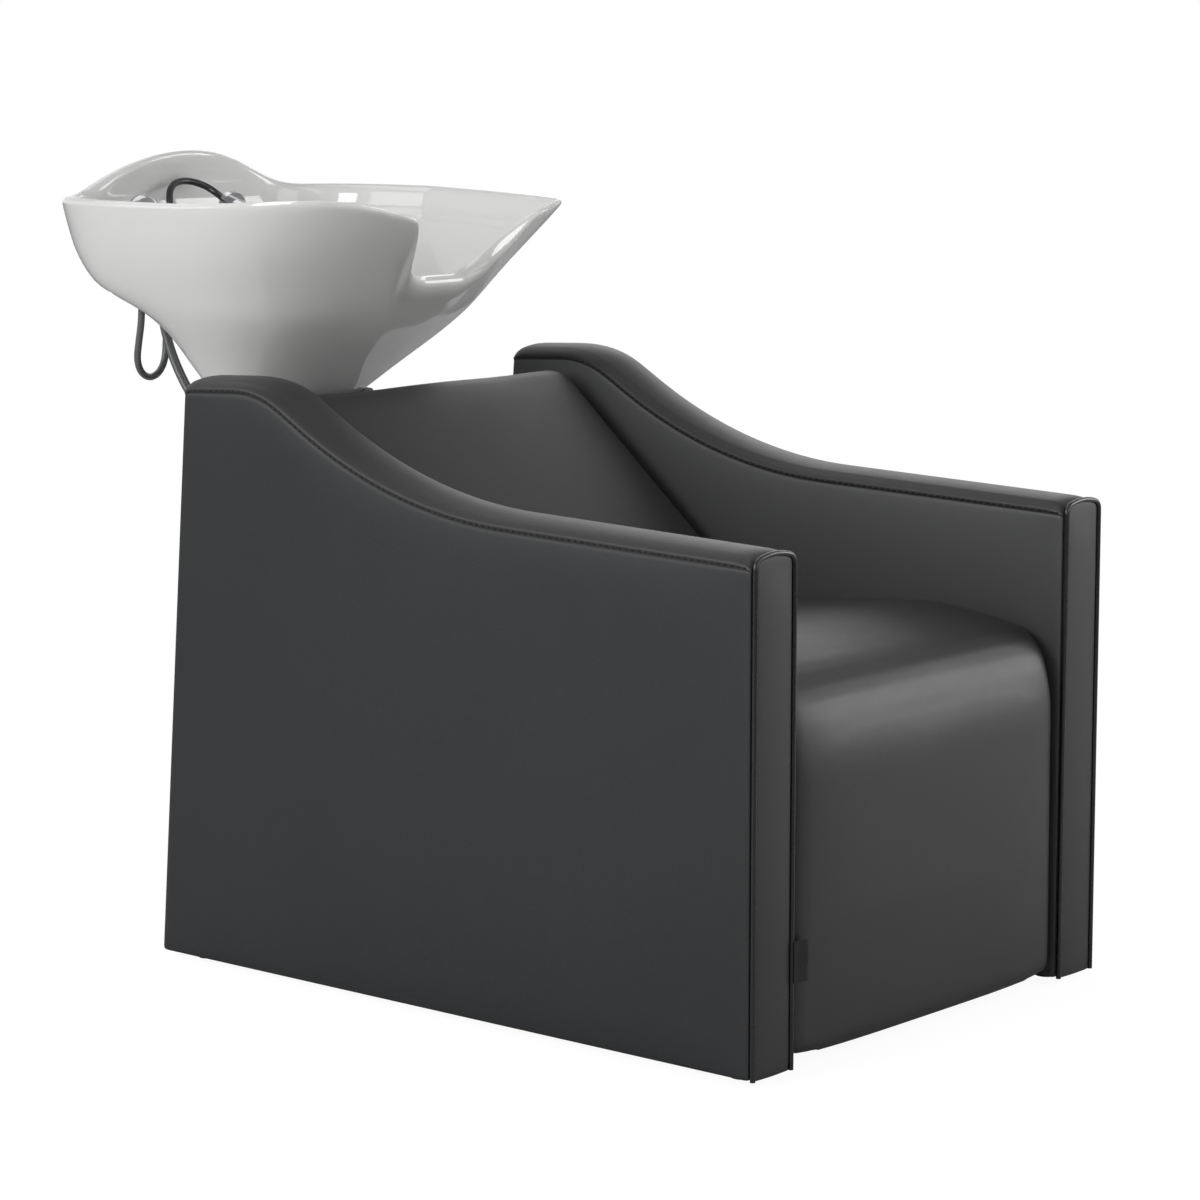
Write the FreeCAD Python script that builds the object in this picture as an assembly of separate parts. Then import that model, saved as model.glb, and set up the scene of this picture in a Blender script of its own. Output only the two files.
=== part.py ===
"""Shampoo backwash unit: an upholstered armchair with a tilting ceramic basin behind its back.

Millimetres, +Z up. X runs across the chair, the sitter faces -Y and the basin is at +Y.
"front" values are depths measured back from the front plane of the arms; save() moves
every piece so that the origin is on the floor, under the middle of the whole unit.
"left" means the -X side.
"""
import FreeCAD, Part
import math
import os
from FreeCAD import Vector

# ------------------------------------------------------------------ driving dimensions
OVERALL_WIDTH = 660.0
GLIDE_HEIGHT = 8.0

# arms: side outline of the crest, as depth and height
ARM_THICK = 73.0
ARM_FRONT_HEIGHT = 580.0
ARM_DIP_DEPTH = 530.0
ARM_DIP_HEIGHT = 596.0
ARM_DIP_RADIUS = 670.0
ARM_SHOULDER_DEPTH = 742.0
ARM_SHOULDER_HEIGHT = 719.0
ARM_SHOULDER_RADIUS = 130.0
ARM_REAR_TOP_DEPTH = 864.0
ARM_REAR_HEIGHT = 713.0
ARM_FOOT_DEPTH = 918.0
ARM_CROWN_RISE = 17.0
ARM_CROWN_CORNER = 14.0
ARM_PADDING = 11.0
FRONT_PANEL_THICK = 8.0
PIPING_RADIUS = 3.0

# seat
SEAT_GAP = 9.0
SEAT_DEPTH = 452.0
SEAT_TOP_HEIGHT = 450.0
SEAT_REAR_HEIGHT = 424.0
SEAT_NOSE_RADIUS = 62.0
SEAT_PAD_THICK = 106.0
SEAT_APRON_THICK = 44.0
SEAT_APRON_FRONT = 3.0
SEAT_HEM_HEIGHT = 12.0
SEAT_BOARD = 18.0
SEAT_BOX_BOTTOM = 30.0
SEAT_BOX_DEPTH = SEAT_DEPTH + 18.0

# back
BACK_FOOT_DEPTH = SEAT_DEPTH - 6.0
BACK_FOOT_HEIGHT = SEAT_REAR_HEIGHT + 19.0
BACK_RECLINE = 40.6
BACK_LENGTH = 412.0
BACK_TOP_RADIUS = 24.0
BACK_PAD_THICK = 92.0
BACK_BOARD = 18.0
REAR_PANEL_DEPTH = 800.0
REAR_PANEL_THICK = 12.0
REAR_PANEL_TOP = 560.0

# column and service housing
COLUMN_SIDE = 60.0
COLUMN_WALL = 3.0
COLUMN_DEPTH = 925.0
COLUMN_TOP = 600.0
FLOOR_PLATE_X = 210.0
FLOOR_PLATE_Y = 160.0
FLOOR_PLATE_THICK = 8.0
FLOOR_PLATE_DEPTH = 915.0
ANCHOR_SPACING_X = 160.0
ANCHOR_SPACING_Y = 110.0
ANCHOR_HOLE_RADIUS = 6.5
BRACE_HEIGHTS = (180.0, 500.0)
HOUSING_HALF_WIDTH = 112.0
HOUSING_REAR_DEPTH = 1068.0
HOUSING_TOP = COLUMN_TOP - 8.0
HOUSING_BOTTOM = 12.0
HOUSING_WALL = 2.0

# tilting head
PIVOT_DEPTH = 960.0
PIVOT_HEIGHT = COLUMN_TOP + 32.0
PIVOT_RADIUS = 6.0
PIVOT_CLEARANCE = 0.05
HEAD_CHEEK_INSIDE = 64.0
HEAD_CHEEK_THICK = 6.0
HEAD_LUG_THICK = 6.0
HEAD_EAR_RADIUS = 17.0
HEAD_SIDE_GAP = 0.4
CRADLE_THICK = 5.0
CRADLE_TOP = PIVOT_HEIGHT + 25.0
CRADLE_INSET = 4.0
GASKET_THICK = 3.0

# basin: the outer surface, level by level
BASIN_BASE_HEIGHT = CRADLE_TOP + GASKET_THICK
BASIN_RIM_HEIGHT = BASIN_BASE_HEIGHT + 254.0
BASIN_HUMP_HEIGHT = BASIN_RIM_HEIGHT + 50.0
BASIN_TIP_DROP = 13.0
BASIN_REAR = 1226.0
BASIN_WALL = 14.0
BASIN_RIM_WALL = 17.0
DECK_HEIGHT = BASIN_RIM_HEIGHT - 38.0
DECK_THICK = 14.0
DECK_BOTTOM = DECK_HEIGHT - DECK_THICK
DECK_WALL_DEPTH = 1122.0
NECK_HALF_WIDTH = 100.0
NECK_BOTTOM = BASIN_RIM_HEIGHT - 93.0
NECK_END_DEPTH = 850.0
SKIRT_BOTTOM = DECK_HEIGHT - 81.0

# waste
DRAIN_DEPTH = 1020.0
DRAIN_HOLE_RADIUS = 24.0
BOWL_FLOOR_HEIGHT = BASIN_BASE_HEIGHT + 46.0
TAIL_RADIUS = 20.0
TAIL_WALL = 2.0
TAIL_BOTTOM = PIVOT_HEIGHT - 66.0
TAIL_CLEARANCE = 1.0
SLEEVE_RADIUS = 38.0
SLEEVE_WALL = 3.0
SLEEVE_TOP = PIVOT_HEIGHT - 44.0
SLEEVE_BOTTOM = SLEEVE_TOP - 68.0
TRAP_TOP = SLEEVE_BOTTOM + 25.0
TRAP_BOTTOM = TRAP_TOP - 125.0
TRAP_WALL = 3.0
WASTE_OUTLET_HEIGHT = TRAP_BOTTOM + 50.0
WASTE_OUTLET_RADIUS = 20.0

# tap, spray and hoses
MIXER_X = -123.0
MIXER_DEPTH = 1152.0
MIXER_RADIUS = 20.0
MIXER_BODY_TOP = DECK_HEIGHT + 14.0
MIXER_DOME_TOP = MIXER_BODY_TOP + 22.0
SHANK_RADIUS = 14.0
HOSE_BLOCK_TOP = DECK_HEIGHT - 70.0
HOSE_BLOCK_BOTTOM = HOSE_BLOCK_TOP - 18.0
HOSE_RADIUS = 4.5
GROMMET_X = -53.0
GROMMET_DEPTH = 1172.5
SPRAY_TAIL = Vector(20.0, 1146.0, DECK_HEIGHT + 21.0)
SPRAY_AXIS = Vector(-0.25, -0.947, -0.2)
SPRAY_NUT_RADIUS = 9.0
SPRAY_RADIUS = 11.0
SPRAY_SHOULDER_RADIUS = 17.0
SPRAY_HEAD_RADIUS = 20.0
SUPPLY_SPACING = Vector(17.0, 14.4, 0.0)

SEAT_CLEAR = 0.3
ORIGIN_DEPTH = BASIN_REAR / 2

# (rise above the base, half width, front depth, rear depth, front fullness, rear fullness)
BASIN_LEVELS = (
    (0.0, 120.0, 932.0, 1070.0, 2.2, 2.6),
    (40.0, 151.0, 882.0, 1096.0, 2.3, 2.6),
    (85.0, 190.0, 821.0, 1122.0, 2.3, 2.6),
    (112.0, 213.0, 791.0, 1150.0, 2.4, 2.8),
    (138.0, 229.0, 766.0, 1196.0, 2.4, 3.7),
    (165.0, 245.0, 742.0, 1211.0, 2.4, 3.9),
    (210.0, 266.0, 702.0, 1221.0, 2.4, 4.0),
    (254.0, 280.0, 664.0, 1225.0, 2.4, 4.0),
    (325.0, 291.0, 612.0, BASIN_REAR, 2.4, 4.0),
)
BOWL_LEVELS = (
    (46.0, 66.0, 972.0, 1062.0, 2.2, 2.4),
    (61.0, 118.0, 906.0, 1084.0, 2.3, 2.6),
    (95.0, 172.0, 847.0, 1097.0, 2.4, 2.8),
    (148.0, 217.0, 785.0, 1104.0, 2.4, 3.0),
    (202.0, 246.0, 731.0, 1107.0, 2.4, 3.0),
    (254.0, 263.0, 685.0, 1109.0, 2.4, 3.0),
    (325.0, 274.0, 633.0, 1111.0, 2.4, 3.0),
)

# free hoses, as points of their routes
SHOWER_HOSE_POINTS = (
    (-133, 1147, 788), (-133, 1147, 758), (-135, 1151, 729), (-136, 1155, 702),
    (-125, 1158, 684), (-105, 1162, 677), (-85, 1166, 684), (-74, 1168, 700), (-72, 1168, 729),
    (-68, 1169, 770), (-61, 1170, 812), (-55, 1171, 852), (-52, 1173, 879), (-48, 1178, 899),
    (-37, 1187, 912), (-19, 1196, 917), (3, 1196, 914), (19.5, 1184, 908), (25.3, 1166, 901.2),
    (20.04, 1146.15, 897.03),
)
SUPPLY_HOSE_POINTS = (
    (-105, 1142, 788), (-105, 1142, 762), (-103, 1138, 736), (-101, 1126, 702), (-98, 1104, 664),
    (-92, 1075, 628), (-85, 1044, 594), (-80, 1019, 560), (-79, 1010, 528), (-79, 1010, 500),
)

os.makedirs("parts", exist_ok=True)


# ------------------------------------------------------------------ helpers
def save(name, shape):
    placed = shape.copy()
    placed.translate(Vector(0, -ORIGIN_DEPTH, 0))
    placed.exportStep("parts/" + name + ".step")


def block(x_range, y_range, z_range):
    size = [high - low for low, high in (x_range, y_range, z_range)]
    return Part.makeBox(*size, Vector(x_range[0], y_range[0], z_range[0]))


def rod(start, end, radius):
    start, end = Vector(start), Vector(end)
    return Part.makeCylinder(radius, (end - start).Length, start, end - start)


def corner_radius(before, corner, after):
    """The largest arc that two neighbouring runs of a hose allow."""
    turn = (corner - before).getAngle(after - corner)
    run = min((corner - before).Length, (after - corner).Length)
    return 0.45 * run / math.tan(turn / 2)


def corner_arc(before, corner, after, radius):
    """An arc of the given radius, tangent to both runs that meet at the corner."""
    back = (before - corner).normalize()
    ahead = (after - corner).normalize()
    half_turn = (math.pi - back.getAngle(ahead)) / 2
    reach = radius * math.tan(half_turn)
    inward = (back + ahead).normalize()
    middle = corner + inward * (radius / math.cos(half_turn) - radius)
    return Part.Arc(corner + back * reach, middle, corner + ahead * reach).toShape()


def rounded_wire(points, radii, closed=False):
    """Straight runs joined by tangent arcs; a radius of 0 leaves a sharp corner."""
    points = [Vector(point) for point in points]
    count = len(points)
    arcs = []
    for index in range(count):
        before, corner, after = points[index - 1], points[index], points[(index + 1) % count]
        inner = closed or 0 < index < count - 1
        arcs.append(corner_arc(before, corner, after, radii[index]) if inner and radii[index] else None)
    edges = []
    for index in range(count if closed else count - 1):
        following = (index + 1) % count
        start = arcs[index].lastVertex().Point if arcs[index] else points[index]
        end = arcs[following].firstVertex().Point if arcs[following] else points[following]
        if (end - start).Length > 0.001:
            edges.append(Part.LineSegment(start, end).toShape())
        if arcs[following]:
            edges.append(arcs[following])
    return Part.Wire(edges)


def side_prism(outline, radii, x_range):
    """A closed (depth, height) outline with rounded corners, drawn across X."""
    wire = rounded_wire([(x_range[0], depth, height) for depth, height in outline], radii, closed=True)
    return Part.Face(wire).extrude(Vector(x_range[1] - x_range[0], 0, 0))


def front_prism(outline, radii, y_range):
    """A closed (x, height) outline with rounded corners, drawn along Y."""
    wire = rounded_wire([(x, y_range[0], height) for x, height in outline], radii, closed=True)
    return Part.Face(wire).extrude(Vector(0, y_range[1] - y_range[0], 0))


def plan_prism(outline, radii, z_range):
    """A closed (x, depth) outline with rounded corners, drawn upwards."""
    wire = rounded_wire([(x, depth, z_range[0]) for x, depth in outline], radii, closed=True)
    return Part.Face(wire).extrude(Vector(0, 0, z_range[1] - z_range[0]))


def hose(points, shift=Vector(0, 0, 0)):
    """A round hose along its route; prints the radius of each bend."""
    points = [Vector(point) + shift for point in points]
    radii = [0.0]
    for before, corner, after in zip(points, points[1:], points[2:]):
        radii.append(corner_radius(before, corner, after))
    radii.append(0.0)
    route = rounded_wire(points, radii)
    section = Part.Wire(Part.makeCircle(HOSE_RADIUS, points[0], points[1] - points[0]))
    solid = route.makePipeShell([section], True, False)
    expected = math.pi * HOSE_RADIUS ** 2 * route.Length
    print("hose length %.0f, bends %s" % (route.Length, [round(radius, 1) for radius in radii[1:-1]]))
    print("  volume over section x length: %.4f" % (solid.Volume / expected))
    return solid


# ------------------------------------------------------------------ arms
ARM_HALF = ARM_THICK / 2
ARM_OUTSIDE = OVERALL_WIDTH / 2
ARM_INSIDE = ARM_OUTSIDE - ARM_THICK
ARM_MIDDLE = ARM_OUTSIDE - ARM_HALF
CROWN_RADIUS = (
    (ARM_HALF - ARM_CROWN_CORNER) ** 2 + ARM_CROWN_RISE ** 2 - ARM_CROWN_CORNER ** 2
) / (2 * (ARM_CROWN_RISE - ARM_CROWN_CORNER))
SEAM_FRONT_HEIGHT = ARM_FRONT_HEIGHT - ARM_CROWN_RISE
SEAM_LINE = (
    (FRONT_PANEL_THICK, SEAM_FRONT_HEIGHT),
    (ARM_DIP_DEPTH, ARM_DIP_HEIGHT - ARM_CROWN_RISE),
    (ARM_SHOULDER_DEPTH, ARM_SHOULDER_HEIGHT - ARM_CROWN_RISE),
    (ARM_REAR_TOP_DEPTH, ARM_REAR_HEIGHT - ARM_CROWN_RISE),
)
GLIDE_DEPTHS = (45.0, 875.0)
GLIDE_RADIUS = 13.0
GLIDE_STEM_RADIUS = 3.0
GLIDE_STEM_LENGTH = 14.0


def arm_prism(inset, x_range):
    """The arm's side outline up to the seam, set in from its faces but not from its foot."""
    front, dip, shoulder, rear = SEAM_LINE
    outline = [
        (front[0] + inset, GLIDE_HEIGHT),
        (front[0] + inset, front[1] - inset),
        (dip[0], dip[1] - inset),
        (shoulder[0], shoulder[1] - inset),
        (rear[0] - inset, rear[1] - inset),
        (ARM_FOOT_DEPTH - inset, GLIDE_HEIGHT),
    ]
    radii = [0, 0, ARM_DIP_RADIUS + inset, ARM_SHOULDER_RADIUS - inset, 0, 0]
    return side_prism(outline, radii, x_range)


def arch_edges(middle_x, depth, inset):
    """The arch of an arm's cross-section: a flat crown between two small shoulders."""
    shoulder = ARM_CROWN_CORNER - inset
    crown = CROWN_RADIUS - inset
    crown_centre = Vector(middle_x, depth, SEAM_FRONT_HEIGHT + ARM_CROWN_RISE - CROWN_RADIUS)
    joins, corners = [], []
    for side in (-1, 1):
        centre = Vector(middle_x + side * (ARM_HALF - ARM_CROWN_CORNER), depth, SEAM_FRONT_HEIGHT)
        join = crown_centre + (centre - crown_centre).normalize() * crown
        foot = centre + Vector(side * shoulder, 0, 0)
        bulge = centre + ((foot - centre).normalize() + (join - centre).normalize()).normalize() * shoulder
        joins.append(join)
        corners.append((foot, bulge))
    top = crown_centre + Vector(0, 0, crown)
    return [
        Part.Arc(corners[0][0], corners[0][1], joins[0]).toShape(),
        Part.Arc(joins[0], top, joins[1]).toShape(),
        Part.Arc(joins[1], corners[1][1], corners[1][0]).toShape(),
    ]


def arm_top_band(middle_x):
    """The padded band over the arm: the arch swept along the seam line."""
    path = rounded_wire(
        [(middle_x, depth, height) for depth, height in SEAM_LINE],
        [0, ARM_DIP_RADIUS, ARM_SHOULDER_RADIUS, 0],
    )
    arch = arch_edges(middle_x, FRONT_PANEL_THICK, 0)
    chord = Part.LineSegment(arch[-1].lastVertex().Point, arch[0].firstVertex().Point).toShape()
    section = Part.Wire(arch + [chord])
    rise = SEAM_LINE[1][1] - SEAM_LINE[0][1]
    run = SEAM_LINE[1][0] - SEAM_LINE[0][0]
    slope = math.degrees(math.atan2(rise, run))
    start = Vector(middle_x, FRONT_PANEL_THICK, SEAM_FRONT_HEIGHT)
    section.rotate(start, Vector(1, 0, 0), slope)
    band = path.makePipeShell([section], True, False)
    front_room = block(
        (middle_x - ARM_THICK, middle_x + ARM_THICK), (0, FRONT_PANEL_THICK), (0, ARM_REAR_HEIGHT)
    )
    return band.cut(front_room)


def arm_front_outline(middle_x, depth, inset):
    """The front of the arm as a closed wire, its foot on the bottom edge."""
    arch = arch_edges(middle_x, depth, inset)
    left_top, right_top = arch[0].firstVertex().Point, arch[-1].lastVertex().Point
    left_foot = Vector(left_top.x, depth, GLIDE_HEIGHT)
    right_foot = Vector(right_top.x, depth, GLIDE_HEIGHT)
    return [
        Part.LineSegment(left_foot, left_top).toShape(),
        *arch,
        Part.LineSegment(right_top, right_foot).toShape(),
        Part.LineSegment(right_foot, left_foot).toShape(),
    ]


def arm_front_panel(middle_x):
    inset = 2 * PIPING_RADIUS + SEAT_CLEAR
    face = Part.Face(Part.Wire(arm_front_outline(middle_x, 0, inset)))
    return face.extrude(Vector(0, FRONT_PANEL_THICK, 0))


def arm_piping(middle_x):
    """One welt cord: up one edge of the front panel, over its arch and down the other."""
    depth = FRONT_PANEL_THICK - PIPING_RADIUS
    path = Part.Wire(arm_front_outline(middle_x, depth, PIPING_RADIUS)[:-1])
    start = path.Edges[0].firstVertex().Point
    section = Part.Wire(Part.makeCircle(PIPING_RADIUS, start, Vector(0, 0, 1)))
    return path.makePipeShell([section], True, False)


def glide_places():
    return [(side * ARM_MIDDLE, depth) for side in (-1, 1) for depth in GLIDE_DEPTHS]


def glide(x, depth):
    foot = rod((x, depth, 0), (x, depth, GLIDE_HEIGHT), GLIDE_RADIUS)
    stem_top = GLIDE_HEIGHT + GLIDE_STEM_LENGTH
    return foot.fuse(rod((x, depth, GLIDE_HEIGHT), (x, depth, stem_top), GLIDE_STEM_RADIUS))


# ------------------------------------------------------------------ bolts through seat box and arms
BOLT_RADIUS = 4.0
BOLT_HEAD_RADIUS = 7.5
BOLT_HEAD_LENGTH = 5.0
BOLT_BITE = 30.0
BOLT_DEPTHS = (120.0, SEAT_BOX_DEPTH - 70.0)
BOLT_HEIGHTS = (90.0, 270.0)


def frame_bolt(side, depth, height):
    inner = side * (ARM_INSIDE - SEAT_BOARD)
    tip = side * (ARM_INSIDE + ARM_PADDING + BOLT_BITE)
    head_end = inner - side * BOLT_HEAD_LENGTH
    shank = rod((inner, depth, height), (tip, depth, height), BOLT_RADIUS)
    return shank.fuse(rod((head_end, depth, height), (inner, depth, height), BOLT_HEAD_RADIUS))


def frame_bolts():
    return [
        frame_bolt(side, depth, height)
        for side in (-1, 1)
        for depth in BOLT_DEPTHS
        for height in BOLT_HEIGHTS
    ]


# ------------------------------------------------------------------ seat and back
SEAT_HALF = ARM_INSIDE - SEAT_GAP
SEAT_PAD_BOTTOM = SEAT_TOP_HEIGHT - SEAT_PAD_THICK
SEAT_DECK_THICK = 15.0
SEAT_BOX_TOP = SEAT_PAD_BOTTOM - SEAT_DECK_THICK
SEAT_BOX_FRONT = SEAT_APRON_FRONT + SEAT_APRON_THICK
SEAT_CROWN_DEPTH = 160.0


def seat_cushion():
    """One waterfall pad: the apron hangs in front of the box, the seat lies on its deck."""
    outline = [
        (SEAT_APRON_FRONT, SEAT_HEM_HEIGHT),
        (SEAT_APRON_FRONT, SEAT_TOP_HEIGHT),
        (SEAT_CROWN_DEPTH, SEAT_TOP_HEIGHT),
        (SEAT_DEPTH, SEAT_REAR_HEIGHT),
        (SEAT_DEPTH, SEAT_PAD_BOTTOM),
        (SEAT_BOX_FRONT, SEAT_PAD_BOTTOM),
        (SEAT_BOX_FRONT, SEAT_HEM_HEIGHT),
    ]
    return side_prism(outline, [12, SEAT_NOSE_RADIUS, 200, 18, 0, 0, 0], (-SEAT_HALF, SEAT_HALF))


def seat_box():
    outer = block(
        (-ARM_INSIDE, ARM_INSIDE), (SEAT_BOX_FRONT, SEAT_BOX_DEPTH), (SEAT_BOX_BOTTOM, SEAT_BOX_TOP)
    )
    room = block(
        (SEAT_BOARD - ARM_INSIDE, ARM_INSIDE - SEAT_BOARD),
        (SEAT_BOX_FRONT + SEAT_BOARD, SEAT_BOX_DEPTH - SEAT_BOARD),
        (SEAT_BOX_BOTTOM, SEAT_BOX_TOP),
    )
    return outer.cut(room)


def seat_deck():
    z_range = (SEAT_BOX_TOP, SEAT_PAD_BOTTOM)
    return block((-ARM_INSIDE, ARM_INSIDE), (SEAT_BOX_FRONT, SEAT_BOX_DEPTH), z_range)


RECLINE = math.radians(BACK_RECLINE)
BACK_ALONG = Vector(0, math.cos(RECLINE), math.sin(RECLINE))
BACK_BEHIND = Vector(0, math.sin(RECLINE), -math.cos(RECLINE))
BACK_FOOT = Vector(0, BACK_FOOT_DEPTH, BACK_FOOT_HEIGHT)


def back_point(along, behind):
    point = BACK_FOOT + BACK_ALONG * along + BACK_BEHIND * behind
    return (point.y, point.z)


def back_cushion():
    outline = [
        back_point(0, 0),
        back_point(BACK_LENGTH, 0),
        back_point(BACK_LENGTH, BACK_PAD_THICK),
        back_point(0, BACK_PAD_THICK),
    ]
    return side_prism(outline, [14, BACK_TOP_RADIUS, 14, 0], (-SEAT_HALF, SEAT_HALF))


def back_board():
    outline = [
        back_point(0, BACK_PAD_THICK),
        back_point(BACK_LENGTH, BACK_PAD_THICK),
        back_point(BACK_LENGTH, BACK_PAD_THICK + BACK_BOARD),
        back_point(0, BACK_PAD_THICK + BACK_BOARD),
    ]
    return side_prism(outline, [0, 0, 0, 0], (-ARM_INSIDE, ARM_INSIDE))


REAR_PANEL_BACK = REAR_PANEL_DEPTH + REAR_PANEL_THICK


def rear_panel():
    return block(
        (-ARM_INSIDE, ARM_INSIDE), (REAR_PANEL_DEPTH, REAR_PANEL_BACK), (SEAT_BOX_BOTTOM, REAR_PANEL_TOP)
    )


# ------------------------------------------------------------------ column and service housing
COLUMN_FRONT = COLUMN_DEPTH - COLUMN_SIDE / 2
BRACE_HALF_WIDTH = 20.0
BRACE_THICK = 20.0
LID_REAR = 972.0
FLANGE_WIDTH = 18.0
SERVICE_PANEL_BOTTOM = 130.0
SERVICE_PANEL_TOP = HOUSING_TOP - 12.0
SERVICE_PANEL_THICK = 2.0
SCREW_RADIUS = 2.5
SCREW_HEAD_RADIUS = 5.0
SCREW_HEAD_LENGTH = 2.5
SCREW_INSET = 12.0
SCREW_LENGTH = 10.0
HOUSING_INSIDE = HOUSING_HALF_WIDTH - HOUSING_WALL


def square_tube(side, wall, depth, z_range):
    half, inner = side / 2, side / 2 - wall
    outer = block((-half, half), (depth - half, depth + half), z_range)
    return outer.cut(block((-inner, inner), (depth - inner, depth + inner), z_range))


def floor_plate():
    half_x, half_y = FLOOR_PLATE_X / 2, FLOOR_PLATE_Y / 2
    corners = [
        (-half_x, FLOOR_PLATE_DEPTH - half_y),
        (half_x, FLOOR_PLATE_DEPTH - half_y),
        (half_x, FLOOR_PLATE_DEPTH + half_y),
        (-half_x, FLOOR_PLATE_DEPTH + half_y),
    ]
    plate = plan_prism(corners, [10] * 4, (0, FLOOR_PLATE_THICK))
    for side_x in (-1, 1):
        for side_y in (-1, 1):
            x = side_x * ANCHOR_SPACING_X / 2
            depth = FLOOR_PLATE_DEPTH + side_y * ANCHOR_SPACING_Y / 2
            plate = plate.cut(rod((x, depth, 0), (x, depth, FLOOR_PLATE_THICK), ANCHOR_HOLE_RADIUS))
    return plate


def column_braces():
    return [
        block(
            (-BRACE_HALF_WIDTH, BRACE_HALF_WIDTH),
            (REAR_PANEL_BACK, COLUMN_FRONT),
            (height, height + BRACE_THICK),
        )
        for height in BRACE_HEIGHTS
    ]


def service_housing():
    """Two side sheets, the lid in front of the open mouth, and two flanges for the panel."""
    z_range = (HOUSING_BOTTOM, HOUSING_TOP)
    y_range = (REAR_PANEL_BACK, HOUSING_REAR_DEPTH)
    lid = block(
        (-HOUSING_INSIDE, HOUSING_INSIDE),
        (REAR_PANEL_BACK, LID_REAR),
        (HOUSING_TOP - HOUSING_WALL, HOUSING_TOP),
    )
    reach = COLUMN_SIDE / 2 + SEAT_CLEAR
    lid = lid.cut(block((-reach, reach), (COLUMN_DEPTH - reach, COLUMN_DEPTH + reach), z_range))
    shell = lid
    for side in (-1, 1):
        outside, inside = sorted((side * HOUSING_HALF_WIDTH, side * HOUSING_INSIDE))
        shell = shell.fuse(block((outside, inside), y_range, z_range))
        near, far = sorted((side * HOUSING_INSIDE, side * (HOUSING_INSIDE - FLANGE_WIDTH)))
        flange_depths = (HOUSING_REAR_DEPTH - HOUSING_WALL, HOUSING_REAR_DEPTH)
        shell = shell.fuse(block((near, far), flange_depths, z_range))
    for x, height in screw_places():
        tip = (x, HOUSING_REAR_DEPTH - SCREW_LENGTH, height)
        shell = shell.cut(rod(tip, (x, HOUSING_REAR_DEPTH, height), SCREW_RADIUS))
    return shell.removeSplitter()


def screw_places():
    x = HOUSING_HALF_WIDTH - SCREW_INSET
    heights = (SERVICE_PANEL_BOTTOM + SCREW_INSET, SERVICE_PANEL_TOP - SCREW_INSET)
    return [(side * x, height) for side in (-1, 1) for height in heights]


def service_panel():
    outer_face = HOUSING_REAR_DEPTH + SERVICE_PANEL_THICK
    outline = [
        (-HOUSING_HALF_WIDTH, SERVICE_PANEL_BOTTOM),
        (HOUSING_HALF_WIDTH, SERVICE_PANEL_BOTTOM),
        (HOUSING_HALF_WIDTH, SERVICE_PANEL_TOP),
        (-HOUSING_HALF_WIDTH, SERVICE_PANEL_TOP),
    ]
    panel = front_prism(outline, [6] * 4, (HOUSING_REAR_DEPTH, outer_face))
    for x, height in screw_places():
        panel = panel.cut(rod((x, HOUSING_REAR_DEPTH, height), (x, outer_face, height), SCREW_RADIUS))
    return panel


def panel_screws():
    outer_face = HOUSING_REAR_DEPTH + SERVICE_PANEL_THICK
    screws = []
    for x, height in screw_places():
        shank = rod((x, HOUSING_REAR_DEPTH - SCREW_LENGTH, height), (x, outer_face, height), SCREW_RADIUS)
        head = rod((x, outer_face, height), (x, outer_face + SCREW_HEAD_LENGTH, height), SCREW_HEAD_RADIUS)
        screws.append(shank.fuse(head))
    return screws


# ------------------------------------------------------------------ tilting head
HEAD_PLATE_THICK = 6.0
HEAD_PLATE_TOP = COLUMN_TOP + HEAD_PLATE_THICK
HEAD_PLATE_FRONT = COLUMN_DEPTH - 45.0
HEAD_PLATE_REAR = PIVOT_DEPTH + HEAD_EAR_RADIUS
CHEEK_OUTSIDE = HEAD_CHEEK_INSIDE + HEAD_CHEEK_THICK
LUG_OUTSIDE = HEAD_CHEEK_INSIDE - HEAD_SIDE_GAP
LUG_INSIDE = LUG_OUTSIDE - HEAD_LUG_THICK
BOLT_CAP_RADIUS = 11.0
BOLT_CAP_LENGTH = 7.0
LEVER_HUB_RADIUS = 13.0
LEVER_HUB_LENGTH = 14.0
LEVER_REACH = 84.0
LEVER_ARM_RADIUS = 4.0
LEVER_GRIP_RADIUS = 7.0
LEVER_GRIP_LENGTH = 34.0
HUB_FACE = CHEEK_OUTSIDE + HEAD_SIDE_GAP


def ear(x_range, z_base):
    """A plate of the head: rounded about the pivot, square where it is welded on."""
    start, end = (x_range[0], PIVOT_DEPTH, PIVOT_HEIGHT), (x_range[1], PIVOT_DEPTH, PIVOT_HEIGHT)
    y_range = (PIVOT_DEPTH - HEAD_EAR_RADIUS, PIVOT_DEPTH + HEAD_EAR_RADIUS)
    web = block(x_range, y_range, sorted((z_base, PIVOT_HEIGHT)))
    return web.fuse(rod(start, end, HEAD_EAR_RADIUS))


def across(x_low, x_high, radius):
    return rod((x_low, PIVOT_DEPTH, PIVOT_HEIGHT), (x_high, PIVOT_DEPTH, PIVOT_HEIGHT), radius)


def head_bracket():
    bracket = block(
        (-CHEEK_OUTSIDE, CHEEK_OUTSIDE), (HEAD_PLATE_FRONT, HEAD_PLATE_REAR), (COLUMN_TOP, HEAD_PLATE_TOP)
    )
    for x_range in ((-CHEEK_OUTSIDE, -HEAD_CHEEK_INSIDE), (HEAD_CHEEK_INSIDE, CHEEK_OUTSIDE)):
        bracket = bracket.fuse(ear(x_range, HEAD_PLATE_TOP))
    return bracket.cut(across(-CHEEK_OUTSIDE, CHEEK_OUTSIDE, PIVOT_RADIUS)).removeSplitter()


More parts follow.
